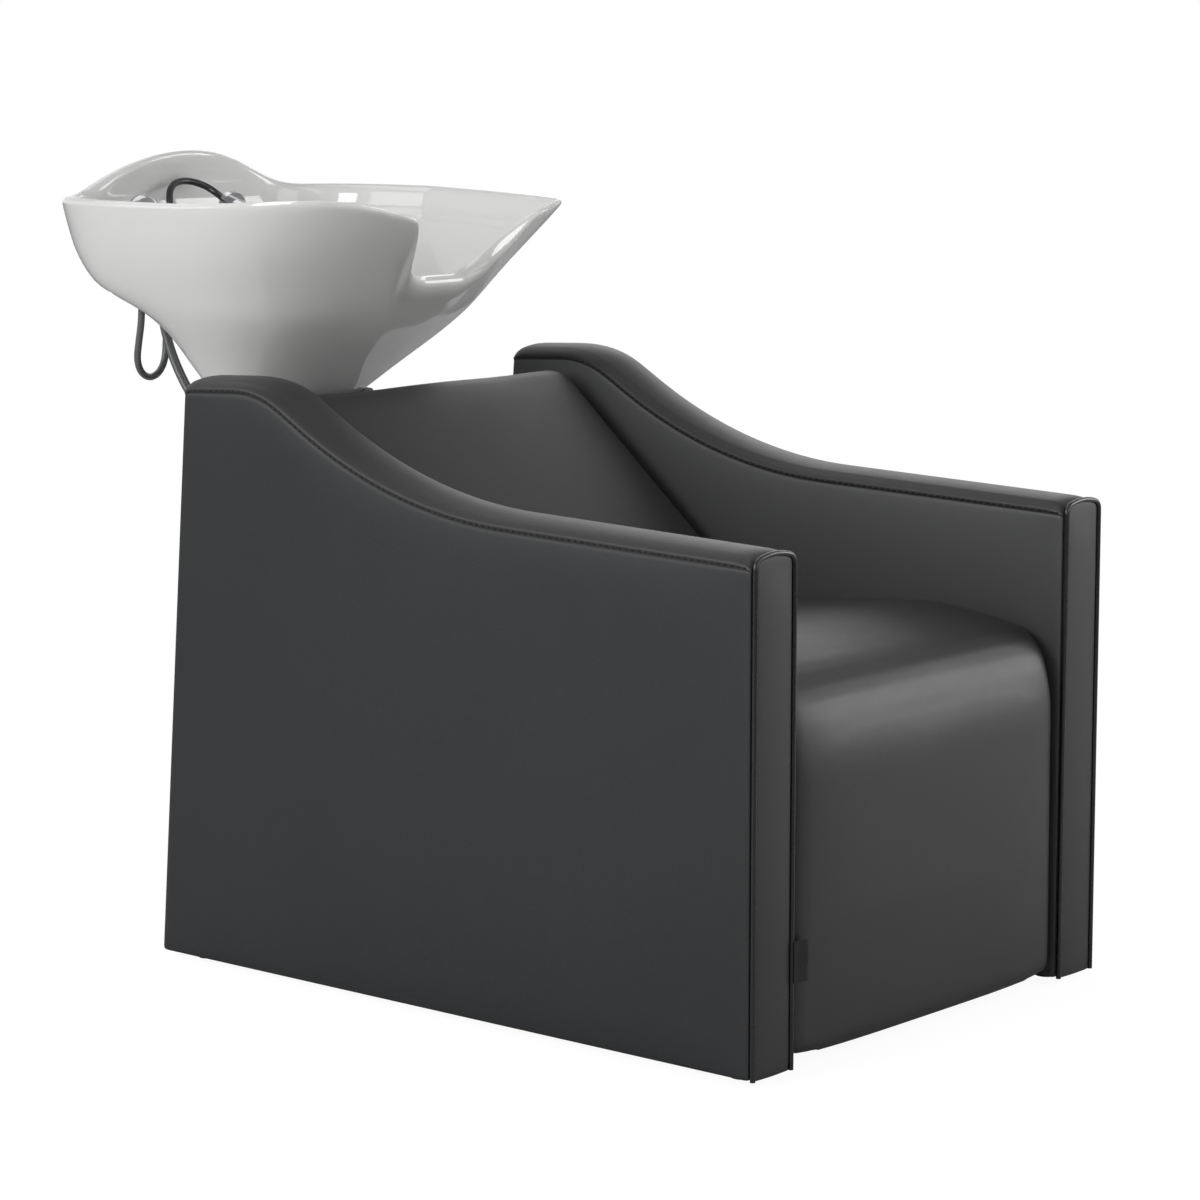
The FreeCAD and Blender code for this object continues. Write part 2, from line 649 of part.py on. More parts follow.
def tilt_cradle():
    base = BASIN_LEVELS[0]
    plate = Part.Face(outline_wire(inset_level(base, CRADLE_INSET), CRADLE_TOP - CRADLE_THICK))
    cradle = plate.extrude(Vector(0, 0, CRADLE_THICK))
    for x_range in ((-LUG_OUTSIDE, -LUG_INSIDE), (LUG_INSIDE, LUG_OUTSIDE)):
        cradle = cradle.fuse(ear(x_range, CRADLE_TOP - CRADLE_THICK))
    cradle = cradle.cut(across(-LUG_OUTSIDE, LUG_OUTSIDE, PIVOT_RADIUS + PIVOT_CLEARANCE))
    tail_hole = upright(CRADLE_TOP - CRADLE_THICK, CRADLE_TOP, TAIL_RADIUS + TAIL_CLEARANCE)
    return cradle.cut(tail_hole).removeSplitter()


def pivot_bolt():
    shank = across(-CHEEK_OUTSIDE, HUB_FACE + LEVER_HUB_LENGTH, PIVOT_RADIUS)
    return shank.fuse(across(-CHEEK_OUTSIDE - BOLT_CAP_LENGTH, -CHEEK_OUTSIDE, BOLT_CAP_RADIUS))


def tilt_lock_lever():
    hub = across(HUB_FACE, HUB_FACE + LEVER_HUB_LENGTH, LEVER_HUB_RADIUS)
    x = HUB_FACE + LEVER_HUB_LENGTH / 2
    tip = PIVOT_DEPTH + LEVER_REACH
    arm = rod((x, PIVOT_DEPTH, PIVOT_HEIGHT), (x, tip, PIVOT_HEIGHT), LEVER_ARM_RADIUS)
    grip = rod((x, tip - LEVER_GRIP_LENGTH, PIVOT_HEIGHT), (x, tip, PIVOT_HEIGHT), LEVER_GRIP_RADIUS)
    hole = across(HUB_FACE, HUB_FACE + LEVER_HUB_LENGTH, PIVOT_RADIUS + PIVOT_CLEARANCE)
    return hub.fuse([arm, grip]).cut(hole)


# ------------------------------------------------------------------ basin
OUTLINE_STEPS = 24
RECESS_TOP = BASIN_BASE_HEIGHT + 30.0
RECESS_INSET = 20.0
RIM_LIMIT = BASIN_HUMP_HEIGHT + 36.0
HUMP_FOOT = 165.0
HUMP_HALF_SLOPE = 29.0
HUMP_FRONT_DEPTH = 1080.0
WIDE = 400.0
DEEP = BASIN_REAR + 100.0
BELOW_BASE = BASIN_BASE_HEIGHT - 40.0
TRAY_SIDE_INSET = BASIN_RIM_WALL + 5.0
TRAY_FRONT_INSET = 45.0
HOLE_CLEARANCE = 1.0


def outline_wire(level, height=None):
    """A basin outline at one level: a rounded rectangle, fuller behind than in front."""
    rise, half_width, front, rear, front_power, rear_power = level
    middle, half_depth = (front + rear) / 2, (rear - front) / 2
    points = []
    for step in range(OUTLINE_STEPS):
        angle = 2 * math.pi * step / OUTLINE_STEPS
        across_part, along_part = math.cos(angle), math.sin(angle)
        power = 2 / (rear_power if along_part > 0 else front_power)
        x = math.copysign(half_width * abs(across_part) ** power, across_part)
        y = middle + math.copysign(half_depth * abs(along_part) ** power, along_part)
        points.append(Vector(x, y, BASIN_BASE_HEIGHT + rise if height is None else height))
    curve = Part.BSplineCurve()
    curve.interpolate(points, PeriodicFlag=True)
    return Part.Wire(curve.toShape())


def inset_level(level, side, front=None, rear=None):
    rise, half_width, front_depth, rear_depth, front_power, rear_power = level
    front = side if front is None else front
    rear = side if rear is None else rear
    return (rise, half_width - side, front_depth + front, rear_depth - rear, front_power, rear_power)


def loft(levels):
    return Part.makeLoft([outline_wire(level) for level in levels], True, False)


def rim_limit():
    """Everything below the rim: level at the sides, lower at the neck, a hump behind."""
    side = [
        (400, BELOW_BASE),
        (400, BASIN_RIM_HEIGHT - 3 * BASIN_TIP_DROP),
        (620, BASIN_RIM_HEIGHT - 1.4 * BASIN_TIP_DROP),
        (790, BASIN_RIM_HEIGHT),
        (DEEP, BASIN_RIM_HEIGHT),
        (DEEP, BELOW_BASE),
    ]
    below = side_prism(side, [0, 0, 300, 700, 0, 0], (-WIDE, WIDE))
    half_slope = math.radians(HUMP_HALF_SLOPE)
    apex = BASIN_RIM_HEIGHT + HUMP_FOOT * math.tan(half_slope)
    crown_radius = (apex - BASIN_HUMP_HEIGHT) / (1 / math.cos(half_slope) - 1)
    foot_height = BASIN_RIM_HEIGHT - 60
    hump = [
        (-WIDE, foot_height),
        (-WIDE, BASIN_RIM_HEIGHT),
        (-HUMP_FOOT, BASIN_RIM_HEIGHT),
        (0, apex),
        (HUMP_FOOT, BASIN_RIM_HEIGHT),
        (WIDE, BASIN_RIM_HEIGHT),
        (WIDE, foot_height),
    ]
    return below.fuse(front_prism(hump, [0, 0, 160, crown_radius, 160, 0, 0], (HUMP_FRONT_DEPTH, DEEP)))


def neck_cut():
    """The rounded notch for the neck, open to the front and to the top."""
    centre = BASIN_RIM_HEIGHT
    depth = centre - NECK_BOTTOM
    outline = [
        (-NECK_HALF_WIDTH, RIM_LIMIT),
        (-NECK_HALF_WIDTH, NECK_BOTTOM),
        (NECK_HALF_WIDTH, NECK_BOTTOM),
        (NECK_HALF_WIDTH, RIM_LIMIT),
    ]
    return front_prism(outline, [0, depth, depth, 0], (500, NECK_END_DEPTH))


def skirt_cut():
    """The skirt of the tap deck stops above the foot of the bowl, where the hoses hang."""
    return block((-WIDE, WIDE), (DECK_WALL_DEPTH, DEEP), (BELOW_BASE, SKIRT_BOTTOM))


def tray_cut():
    """The room above the tap deck, inside the walls of the rim."""
    levels = [
        inset_level(level, TRAY_SIDE_INSET, TRAY_FRONT_INSET, BASIN_RIM_WALL) for level in BASIN_LEVELS[5:]
    ]
    return loft(levels).common(block((-WIDE, WIDE), (400, BASIN_REAR), (DECK_HEIGHT, RIM_LIMIT)))


def under_deck_cut():
    """The hollow behind the bowl and under the tap deck."""
    levels = [inset_level(level, BASIN_WALL) for level in BASIN_LEVELS[:8]]
    room = block((-WIDE, WIDE), (DECK_WALL_DEPTH, BASIN_REAR), (BELOW_BASE, DECK_BOTTOM))
    return loft(levels).common(room)


def basin():
    recess = Part.Face(outline_wire(inset_level(BASIN_LEVELS[0], RECESS_INSET)))
    recess = recess.extrude(Vector(0, 0, RECESS_TOP - BASIN_BASE_HEIGHT))
    cutters = [
        loft(BOWL_LEVELS),
        tray_cut(),
        under_deck_cut(),
        neck_cut(),
        skirt_cut(),
        recess,
        upright(RECESS_TOP - 1, BOWL_FLOOR_HEIGHT + 1, DRAIN_HOLE_RADIUS),
        at_mixer(DECK_BOTTOM - 1, DECK_HEIGHT + 1, SHANK_RADIUS + HOLE_CLEARANCE),
        at_grommet(DECK_BOTTOM - 1, DECK_HEIGHT + 1, GROMMET_RADIUS),
    ]
    body = loft(BASIN_LEVELS).common(rim_limit())
    for cutter in cutters:
        body = body.cut(cutter)
    return body


def base_gasket():
    outer = Part.Face(outline_wire(inset_level(BASIN_LEVELS[0], CRADLE_INSET + 1), CRADLE_TOP))
    inner = Part.Face(outline_wire(inset_level(BASIN_LEVELS[0], RECESS_INSET - 4), CRADLE_TOP))
    return outer.cut(inner).extrude(Vector(0, 0, GASKET_THICK))


# ------------------------------------------------------------------ waste
FLANGE_RADIUS = 33.0
FLANGE_THICK = 3.0
FLANGE_HOLE_RADIUS = 19.0
STRAINER_RIM_RADIUS = 27.0
STRAINER_RIM_THICK = 2.0
STRAINER_CUP_RADIUS = 17.3
STRAINER_CUP_DEPTH = 16.0
STRAINER_WALL = 1.2
STRAINER_SLOTS = 10
STRAINER_SLOT_WIDTH = 3.2
WASTE_NUT_RADIUS = 31.0
WASTE_NUT_HEIGHT = 15.0
SLEEVE_INSIDE = SLEEVE_RADIUS - SLEEVE_WALL
STUB_RADIUS = 23.0
PIPE_X = 75.0
PIPE_BEND = 30.0
STUB_END = PIPE_X - PIPE_BEND
PIPE_BOTTOM = 60.0
PIPE_INSIDE = WASTE_OUTLET_RADIUS - 2.0
SOCKET_LENGTH = 80.0
STOP_BEAD_RADIUS = WASTE_OUTLET_RADIUS + 2.5
STOP_BEAD_HEIGHT = 6.0
CLIP_HEIGHTS = (150.0, 360.0)
CLIP_WIDTH = 16.0
CLIP_THICK = 3.0


def upright(low, high, radius):
    return rod((0, DRAIN_DEPTH, low), (0, DRAIN_DEPTH, high), radius)


def waste_flange():
    """A ring on the bowl's floor with a neck that lines the drain hole."""
    floor = BOWL_FLOOR_HEIGHT
    ring = upright(floor, floor + FLANGE_THICK, FLANGE_RADIUS)
    neck = upright(RECESS_TOP, floor, DRAIN_HOLE_RADIUS - SEAT_CLEAR)
    ring = ring.fuse(neck).cut(upright(RECESS_TOP, floor, TAIL_RADIUS))
    return ring.cut(upright(floor, floor + FLANGE_THICK, FLANGE_HOLE_RADIUS))


def waste_tail():
    outside = upright(TAIL_BOTTOM, BOWL_FLOOR_HEIGHT, TAIL_RADIUS)
    return outside.cut(upright(TAIL_BOTTOM, BOWL_FLOOR_HEIGHT, TAIL_RADIUS - TAIL_WALL))


def waste_nut():
    top = CRADLE_TOP - CRADLE_THICK
    corners = []
    for step in range(6):
        angle = math.radians(60 * step)
        x, y = WASTE_NUT_RADIUS * math.cos(angle), WASTE_NUT_RADIUS * math.sin(angle)
        corners.append((x, DRAIN_DEPTH + y))
    nut = plan_prism(corners, [3] * 6, (top - WASTE_NUT_HEIGHT, top))
    return nut.cut(upright(top - WASTE_NUT_HEIGHT, top, TAIL_RADIUS))


def hair_strainer():
    """A lift-out cup: its rim lies on the flange, water leaves through slots in the cup."""
    seat = BOWL_FLOOR_HEIGHT + FLANGE_THICK
    bottom = seat - STRAINER_CUP_DEPTH
    top = seat + STRAINER_RIM_THICK
    cup = upright(seat, top, STRAINER_RIM_RADIUS).fuse(upright(bottom, seat, STRAINER_CUP_RADIUS))
    cup = cup.cut(upright(bottom + STRAINER_WALL, top, STRAINER_CUP_RADIUS - STRAINER_WALL))
    for step in range(STRAINER_SLOTS):
        half = STRAINER_SLOT_WIDTH / 2
        slot = block(
            (6, STRAINER_CUP_RADIUS + 1), (DRAIN_DEPTH - half, DRAIN_DEPTH + half), (bottom - 1, seat - 5)
        )
        slot.rotate(Vector(0, DRAIN_DEPTH, 0), Vector(0, 0, 1), 360 * step / STRAINER_SLOTS)
        cup = cup.cut(slot)
    return cup


def waste_sleeve():
    outside = upright(SLEEVE_BOTTOM, SLEEVE_TOP, SLEEVE_RADIUS)
    return outside.cut(upright(SLEEVE_BOTTOM, SLEEVE_TOP, SLEEVE_INSIDE))


def waste_trap():
    """A bottle trap: an open cup under the sleeve with a side stub for the waste pipe."""
    cup = upright(TRAP_BOTTOM, TRAP_TOP, SLEEVE_INSIDE)
    start = (0, DRAIN_DEPTH, WASTE_OUTLET_HEIGHT)
    end = (STUB_END, DRAIN_DEPTH, WASTE_OUTLET_HEIGHT)
    room = upright(TRAP_BOTTOM + TRAP_WALL, TRAP_TOP, SLEEVE_INSIDE - TRAP_WALL)
    return cup.fuse(rod(start, end, STUB_RADIUS)).cut(room).cut(rod(start, end, WASTE_OUTLET_RADIUS))


def waste_pipe():
    """The bent outlet pipe, with a bead round it where a socket pushed on from below stops."""
    start = (SLEEVE_INSIDE, DRAIN_DEPTH, WASTE_OUTLET_HEIGHT)
    points = [start, (PIPE_X, DRAIN_DEPTH, WASTE_OUTLET_HEIGHT), (PIPE_X, DRAIN_DEPTH, PIPE_BOTTOM)]
    path = rounded_wire(points, [0, PIPE_BEND, 0])
    solids = []
    for radius in (WASTE_OUTLET_RADIUS, PIPE_INSIDE):
        section = Part.Wire(Part.makeCircle(radius, Vector(start), Vector(1, 0, 0)))
        solids.append(path.makePipeShell([section], True, False))
    stop = PIPE_BOTTOM + SOCKET_LENGTH
    low, high = (PIPE_X, DRAIN_DEPTH, stop), (PIPE_X, DRAIN_DEPTH, stop + STOP_BEAD_HEIGHT)
    return solids[0].fuse(rod(low, high, STOP_BEAD_RADIUS)).cut(solids[1])


def pipe_clips():
    """Two clips that hold the waste pipe to the housing's side sheet."""
    clips = []
    for height in CLIP_HEIGHTS:
        low, high = (PIPE_X, DRAIN_DEPTH, height), (PIPE_X, DRAIN_DEPTH, height + CLIP_WIDTH)
        foot = block(
            (PIPE_X, HOUSING_INSIDE),
            (DRAIN_DEPTH - CLIP_WIDTH / 2, DRAIN_DEPTH + CLIP_WIDTH / 2),
            (height, height + CLIP_WIDTH),
        )
        ring = rod(low, high, WASTE_OUTLET_RADIUS + CLIP_THICK)
        clips.append(ring.fuse(foot).cut(rod(low, high, WASTE_OUTLET_RADIUS)))
    return clips


# ------------------------------------------------------------------ tap, spray and hoses
NUT_RADIUS = 18.0
NUT_HEIGHT = 12.0
HOSE_BLOCK_X = (-140.0, -80.0)
HOSE_BLOCK_Y = (1134.0, 1162.0)
GROMMET_RADIUS = 9.5
GROMMET_HOLE_RADIUS = 6.8
GROMMET_LIP = 3.0
GROMMET_LIP_HEIGHT = 3.0
COLLAR_THICK = 4.0
POST_HEIGHT = 8.0
LEVER_PIN_RADIUS = 2.0
LEVER_PIN_HALF = 11.0
LEVER_PIN_HEIGHT = MIXER_BODY_TOP + COLLAR_THICK + 4.3
LEVER_LIFT = 15.0
LEVER_ROOM = (8.0, 11.0)
DOME_RADIUS = 21.0
LEVER_THICK = 5.0
LEVER_WIDTH = 15.0
LEVER_LENGTH = 66.0
SADDLE_HALF_WIDTH = 17.0
SADDLE_DEPTHS = (1109.0, 1126.0)
SADDLE_HEIGHT = 14.0
SPRAY_NUT_LENGTH = 7.0
SPRAY_SHOULDER_LENGTH = 10.0
SPRAY_LENGTH = 84.0
SPRAY_HEAD_HEIGHT = 25.0
SPRAY_FACE_THICK = 3.0
COUPLER_RADIUS = 10.5
COUPLER_BORE_RADIUS = 7.5
COUPLER_BORE_LENGTH = 12.0
COUPLER_LENGTH = 18.0


def at_mixer(low, high, radius):
    return rod((MIXER_X, MIXER_DEPTH, low), (MIXER_X, MIXER_DEPTH, high), radius)


def mixer_body():
    """The tap's foot on the deck, with its threaded shank down through the ceramic."""
    foot = at_mixer(DECK_HEIGHT, DECK_HEIGHT + 3, MIXER_RADIUS + 2)
    barrel = at_mixer(DECK_HEIGHT + 3, MIXER_BODY_TOP, MIXER_RADIUS)
    shank = at_mixer(HOSE_BLOCK_TOP, DECK_HEIGHT, SHANK_RADIUS)
    return foot.fuse([barrel, shank])


def shank_nut():
    return at_mixer(DECK_BOTTOM - NUT_HEIGHT, DECK_BOTTOM, NUT_RADIUS).cut(
        at_mixer(DECK_BOTTOM - NUT_HEIGHT, DECK_BOTTOM, SHANK_RADIUS)
    )


def mixer_collar():
    """The turning ring under the lever, with the short post that the lever rocks on."""
    top = MIXER_BODY_TOP + COLLAR_THICK
    ring = at_mixer(MIXER_BODY_TOP + SEAT_CLEAR, top, MIXER_RADIUS)
    post = block(
        (MIXER_X - 5, MIXER_X + 5), (MIXER_DEPTH - 6, MIXER_DEPTH + 6), (top, top + POST_HEIGHT)
    )
    return ring.fuse([post, lever_pin(LEVER_PIN_RADIUS)])


def lever_pin(radius):
    """The cross pin that the lever rocks on, or its hole."""
    left, right = ((MIXER_X + side * LEVER_PIN_HALF, MIXER_DEPTH, LEVER_PIN_HEIGHT) for side in (-1, 1))
    return rod(left, right, radius)


def lever_relief(base):
    """The room behind the pin that lets the back of the cap sink as the lever lifts."""
    reach = DOME_RADIUS + 1
    wedge = block(
        (MIXER_X - reach, MIXER_X + reach), (MIXER_DEPTH, MIXER_DEPTH + 2 * reach), (base - reach, base)
    )
    wedge.rotate(Vector(MIXER_X, MIXER_DEPTH, LEVER_PIN_HEIGHT), Vector(1, 0, 0), LEVER_LIFT)
    return wedge


def mixer_lever():
    """A shallow chrome cap over the post, drawn out forwards into a flat lever."""
    base = MIXER_BODY_TOP + COLLAR_THICK + SEAT_CLEAR
    dome_radius = (DOME_RADIUS ** 2 + (MIXER_DOME_TOP - base) ** 2) / (2 * (MIXER_DOME_TOP - base))
    ball = Part.makeSphere(dome_radius, Vector(MIXER_X, MIXER_DEPTH, MIXER_DOME_TOP - dome_radius))
    cap = ball.common(at_mixer(base, MIXER_DOME_TOP + 1, DOME_RADIUS))
    half = LEVER_WIDTH / 2
    outline = [
        (MIXER_X - half, MIXER_DEPTH - LEVER_LENGTH),
        (MIXER_X + half, MIXER_DEPTH - LEVER_LENGTH),
        (MIXER_X + half, MIXER_DEPTH),
        (MIXER_X - half, MIXER_DEPTH),
    ]
    arm = plan_prism(outline, [7, 7, 0, 0], (base, base + LEVER_THICK))
    half_width, half_depth = LEVER_ROOM
    room = block(
        (MIXER_X - half_width, MIXER_X + half_width),
        (MIXER_DEPTH - half_depth, MIXER_DEPTH + half_depth),
        (base - 1, base + POST_HEIGHT + 2),
    )
    return cap.fuse(arm).cut([room, lever_relief(base), lever_pin(LEVER_PIN_RADIUS + PIVOT_CLEARANCE)])


def hose_block():
    return block(HOSE_BLOCK_X, HOSE_BLOCK_Y, (HOSE_BLOCK_BOTTOM, HOSE_BLOCK_TOP))


def at_grommet(low, high, radius):
    return rod((GROMMET_X, GROMMET_DEPTH, low), (GROMMET_X, GROMMET_DEPTH, high), radius)


def hose_grommet():
    lip = at_grommet(DECK_HEIGHT, DECK_HEIGHT + GROMMET_LIP_HEIGHT, GROMMET_RADIUS + GROMMET_LIP)
    sleeve = at_grommet(DECK_BOTTOM, DECK_HEIGHT, GROMMET_RADIUS)
    bore = at_grommet(DECK_BOTTOM, DECK_HEIGHT + GROMMET_LIP_HEIGHT, GROMMET_HOLE_RADIUS)
    return lip.fuse(sleeve).cut(bore)


def spray_point(along):
    return SPRAY_TAIL + SPRAY_AXIS * (along / SPRAY_AXIS.Length)


def hand_shower():
    """The spray lies in its saddle with its hose end back and its head over the bowl."""
    shoulder_end = SPRAY_NUT_LENGTH + SPRAY_SHOULDER_LENGTH
    nut = rod(spray_point(0), spray_point(SPRAY_NUT_LENGTH), SPRAY_NUT_RADIUS)
    shoulder = rod(spray_point(SPRAY_NUT_LENGTH), spray_point(shoulder_end), SPRAY_SHOULDER_RADIUS)
    handle = rod(spray_point(shoulder_end), spray_point(SPRAY_LENGTH), SPRAY_RADIUS)
    head_centre = spray_point(SPRAY_LENGTH)
    head_top = head_centre + Vector(0, 0, SPRAY_RADIUS)
    head = rod(head_top - Vector(0, 0, SPRAY_HEAD_HEIGHT), head_top, SPRAY_HEAD_RADIUS)
    return nut.fuse([shoulder, handle, head])


def spray_face():
    top = spray_point(SPRAY_LENGTH) + Vector(0, 0, SPRAY_RADIUS - SPRAY_HEAD_HEIGHT)
    return rod(top - Vector(0, 0, SPRAY_FACE_THICK), top, SPRAY_HEAD_RADIUS - 3)


def spray_saddle():
    """A cradle on the deck's front edge, open upwards so that the spray lifts straight off."""
    middle = SPRAY_TAIL.x + (sum(SADDLE_DEPTHS) / 2 - SPRAY_TAIL.y) * SPRAY_AXIS.x / SPRAY_AXIS.y
    saddle = block(
        (middle - SADDLE_HALF_WIDTH, middle + SADDLE_HALF_WIDTH),
        SADDLE_DEPTHS,
        (DECK_HEIGHT, DECK_HEIGHT + SADDLE_HEIGHT),
    )
    groove = rod(spray_point(-20), spray_point(SPRAY_LENGTH + 20), SPRAY_RADIUS + SEAT_CLEAR)
    return saddle.cut(groove)


def supply_couplers():
    """A threaded union on the end of each supply hose, open below."""
    couplers = []
    for step in range(2):
        top = Vector(SUPPLY_HOSE_POINTS[-1]) + SUPPLY_SPACING * step
        bottom = top - Vector(0, 0, COUPLER_LENGTH)
        bore = rod(bottom, bottom + Vector(0, 0, COUPLER_BORE_LENGTH), COUPLER_BORE_RADIUS)
        couplers.append(rod(bottom, top, COUPLER_RADIUS).cut(bore))
    return couplers


# ------------------------------------------------------------------ trim
TAG_DEPTH = 10.0
TAG_LOW = 100.0
TAG_HIGH = 138.0
TAG_THICK = 1.2
TAG_WIDTH = 26.0


def seam_tag():
    """A plain folded tab sewn beside the piping, inside the left arm."""
    inner = -ARM_INSIDE
    return block((inner, inner + TAG_THICK), (TAG_DEPTH, TAG_DEPTH + TAG_WIDTH), (TAG_LOW, TAG_HIGH))


# ------------------------------------------------------------------ all pieces
def save_arms():
    stems = [
        rod((x, depth, GLIDE_HEIGHT), (x, depth, GLIDE_HEIGHT + GLIDE_STEM_LENGTH), GLIDE_STEM_RADIUS)
        for x, depth in glide_places()
    ]
    bolts = frame_bolts()
    for name, side in (("left", -1), ("right", 1)):
        outside, inside = sorted((side * ARM_OUTSIDE, side * ARM_INSIDE))
        frame = arm_prism(ARM_PADDING, (outside + ARM_PADDING, inside - ARM_PADDING))
        cover = arm_prism(0, (outside, inside)).cut(frame)
        save(name + "_arm_frame", frame.cut(stems + bolts))
        save(name + "_arm_cover", cover.cut(bolts))
        save(name + "_arm_top_band", arm_top_band(side * ARM_MIDDLE))
        save(name + "_arm_front_panel", arm_front_panel(side * ARM_MIDDLE))
        save(name + "_arm_piping", arm_piping(side * ARM_MIDDLE))
    save("floor_glides", Part.makeCompound([glide(x, depth) for x, depth in glide_places()]))
    save("frame_bolts", Part.makeCompound(bolts))
    save("seat_box", seat_box().cut(bolts))
    save("seam_tag", seam_tag())


def save_all():
    save_arms()
    save("seat_deck", seat_deck())
    save("seat_cushion", seat_cushion())
    save("back_cushion", back_cushion())
    save("back_board", back_board())
    save("rear_panel", rear_panel())
    save("floor_plate", floor_plate())
    save("column", square_tube(COLUMN_SIDE, COLUMN_WALL, COLUMN_DEPTH, (FLOOR_PLATE_THICK, COLUMN_TOP)))
    save("column_braces", Part.makeCompound(column_braces()))
    save("service_housing", service_housing())
    save("service_panel", service_panel())
    save("panel_screws", Part.makeCompound(panel_screws()))
    save("head_bracket", head_bracket())
    save("tilt_cradle", tilt_cradle())
    save("pivot_bolt", pivot_bolt())
    save("tilt_lock_lever", tilt_lock_lever())
    save("base_gasket", base_gasket())
    save("basin", basin())
    save("waste_flange", waste_flange())
    save("waste_tail", waste_tail())
    save("waste_nut", waste_nut())
    save("hair_strainer", hair_strainer())
    save("waste_sleeve", waste_sleeve())
    save("waste_trap", waste_trap())
    save("waste_pipe", waste_pipe())
    save("pipe_clips", Part.makeCompound(pipe_clips()))
    save("mixer_body", mixer_body())
    save("shank_nut", shank_nut())
    save("mixer_collar", mixer_collar())
    save("mixer_lever", mixer_lever())
    save("hose_block", hose_block())
    save("hose_grommet", hose_grommet())
    save("hand_shower", hand_shower())
    save("spray_face", spray_face())
    save("spray_saddle", spray_saddle())
    save("shower_hose", hose(SHOWER_HOSE_POINTS))
    save("supply_hose_hot", hose(SUPPLY_HOSE_POINTS))
    save("supply_hose_cold", hose(SUPPLY_HOSE_POINTS, SUPPLY_SPACING))
    save("supply_couplers", Part.makeCompound(supply_couplers()))


save_all()
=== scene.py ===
# %% [markdown]
# # A shampoo backwash unit
#
# The real thing is an armchair covered in charcoal artificial leather, with a glazed ceramic basin
# standing behind its reclined back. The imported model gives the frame: where every piece is and how
# it moves. This lesson gives the pieces their real surfaces. Everything is in metres, +Z is up, the
# sitter looks towards -Y and the basin is at +Y.

# %% Load the frame and note its box
import math

import bpy
import numpy as np
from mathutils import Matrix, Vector


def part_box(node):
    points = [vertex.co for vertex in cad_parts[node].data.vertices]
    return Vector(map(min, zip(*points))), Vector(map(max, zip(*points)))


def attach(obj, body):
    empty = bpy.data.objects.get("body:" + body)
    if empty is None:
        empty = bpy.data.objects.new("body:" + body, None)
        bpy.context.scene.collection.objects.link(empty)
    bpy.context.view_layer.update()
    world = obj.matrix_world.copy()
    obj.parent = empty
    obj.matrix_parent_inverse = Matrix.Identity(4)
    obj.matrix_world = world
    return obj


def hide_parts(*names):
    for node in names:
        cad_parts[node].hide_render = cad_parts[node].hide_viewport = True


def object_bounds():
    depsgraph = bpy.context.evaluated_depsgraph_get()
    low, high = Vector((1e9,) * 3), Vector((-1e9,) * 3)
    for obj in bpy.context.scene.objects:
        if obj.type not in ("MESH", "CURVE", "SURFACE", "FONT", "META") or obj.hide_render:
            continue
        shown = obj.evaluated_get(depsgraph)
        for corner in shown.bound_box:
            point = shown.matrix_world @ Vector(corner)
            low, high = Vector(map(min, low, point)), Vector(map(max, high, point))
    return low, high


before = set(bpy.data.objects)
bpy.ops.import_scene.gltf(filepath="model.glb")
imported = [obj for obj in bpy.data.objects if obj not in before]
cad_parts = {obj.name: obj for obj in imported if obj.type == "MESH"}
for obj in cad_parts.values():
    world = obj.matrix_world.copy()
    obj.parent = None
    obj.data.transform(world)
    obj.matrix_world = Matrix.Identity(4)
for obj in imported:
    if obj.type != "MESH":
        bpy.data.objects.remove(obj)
cad_box = [[float(value) for value in corner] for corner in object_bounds()]
print("frame box", cad_box)

# %% [markdown]
# Operators act on whatever is selected, so two small habits run through the lesson: deselect all
# before a primitive is added, and name each piece at once. A finished piece keeps its place in its
# mesh, so its object stays at the origin.

# %% Helpers for starting and finishing a piece
SIDES = {"left": -1, "right": 1}


def start_clean():
    if bpy.context.object and bpy.context.object.mode != "OBJECT":
        bpy.ops.object.mode_set(mode="OBJECT")
    bpy.ops.object.select_all(action="DESELECT")


def named(name):
    """Names the new primitive and puts its place into its mesh."""
    piece = bpy.context.object
    piece.name = name
    piece.data.name = name
    bpy.ops.object.transform_apply(location=True, rotation=True, scale=True)
    return piece


def apply_all(piece):
    start_clean()
    piece.select_set(True)
    bpy.context.view_layer.objects.active = piece
    for modifier in list(piece.modifiers):
        bpy.ops.object.modifier_apply(modifier=modifier.name)


def smooth_faces(piece, degrees=180):
    start_clean()
    piece.select_set(True)
    bpy.context.view_layer.objects.active = piece
    if degrees >= 180:
        bpy.ops.object.shade_smooth()
    else:
        bpy.ops.object.shade_smooth_by_angle(angle=math.radians(degrees))


def outward(piece):
    """Turns every face of a closed piece outwards."""
    start_clean()
    piece.select_set(True)
    bpy.context.view_layer.objects.active = piece
    bpy.ops.object.mode_set(mode="EDIT")
    bpy.ops.mesh.select_all(action="SELECT")
    bpy.ops.mesh.normals_make_consistent(inside=False)
    bpy.ops.object.mode_set(mode="OBJECT")


def points_of(piece):
    flat = np.empty(len(piece.data.vertices) * 3)
    piece.data.vertices.foreach_get("co", flat)
    return flat.reshape(-1, 3)


def set_points(piece, points):
    piece.data.vertices.foreach_set("co", np.asarray(points, dtype=float).ravel())
    piece.data.update()


def finish(piece, body, material, replaces=()):
    """Gives a piece its material, its body and the nodes that it stands for."""
    piece.data.materials.clear()
    piece.data.materials.append(material)
    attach(piece, body)
    if replaces:
        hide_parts(*replaces)
    print(piece.name, "faces", len(piece.data.polygons) if piece.type == "MESH" else "curve")
    return piece


# %% [markdown]
# The camera stands in front of the chair's right-hand corner at about chest height, a long way
# off, so a long lens keeps the upright edges parallel.

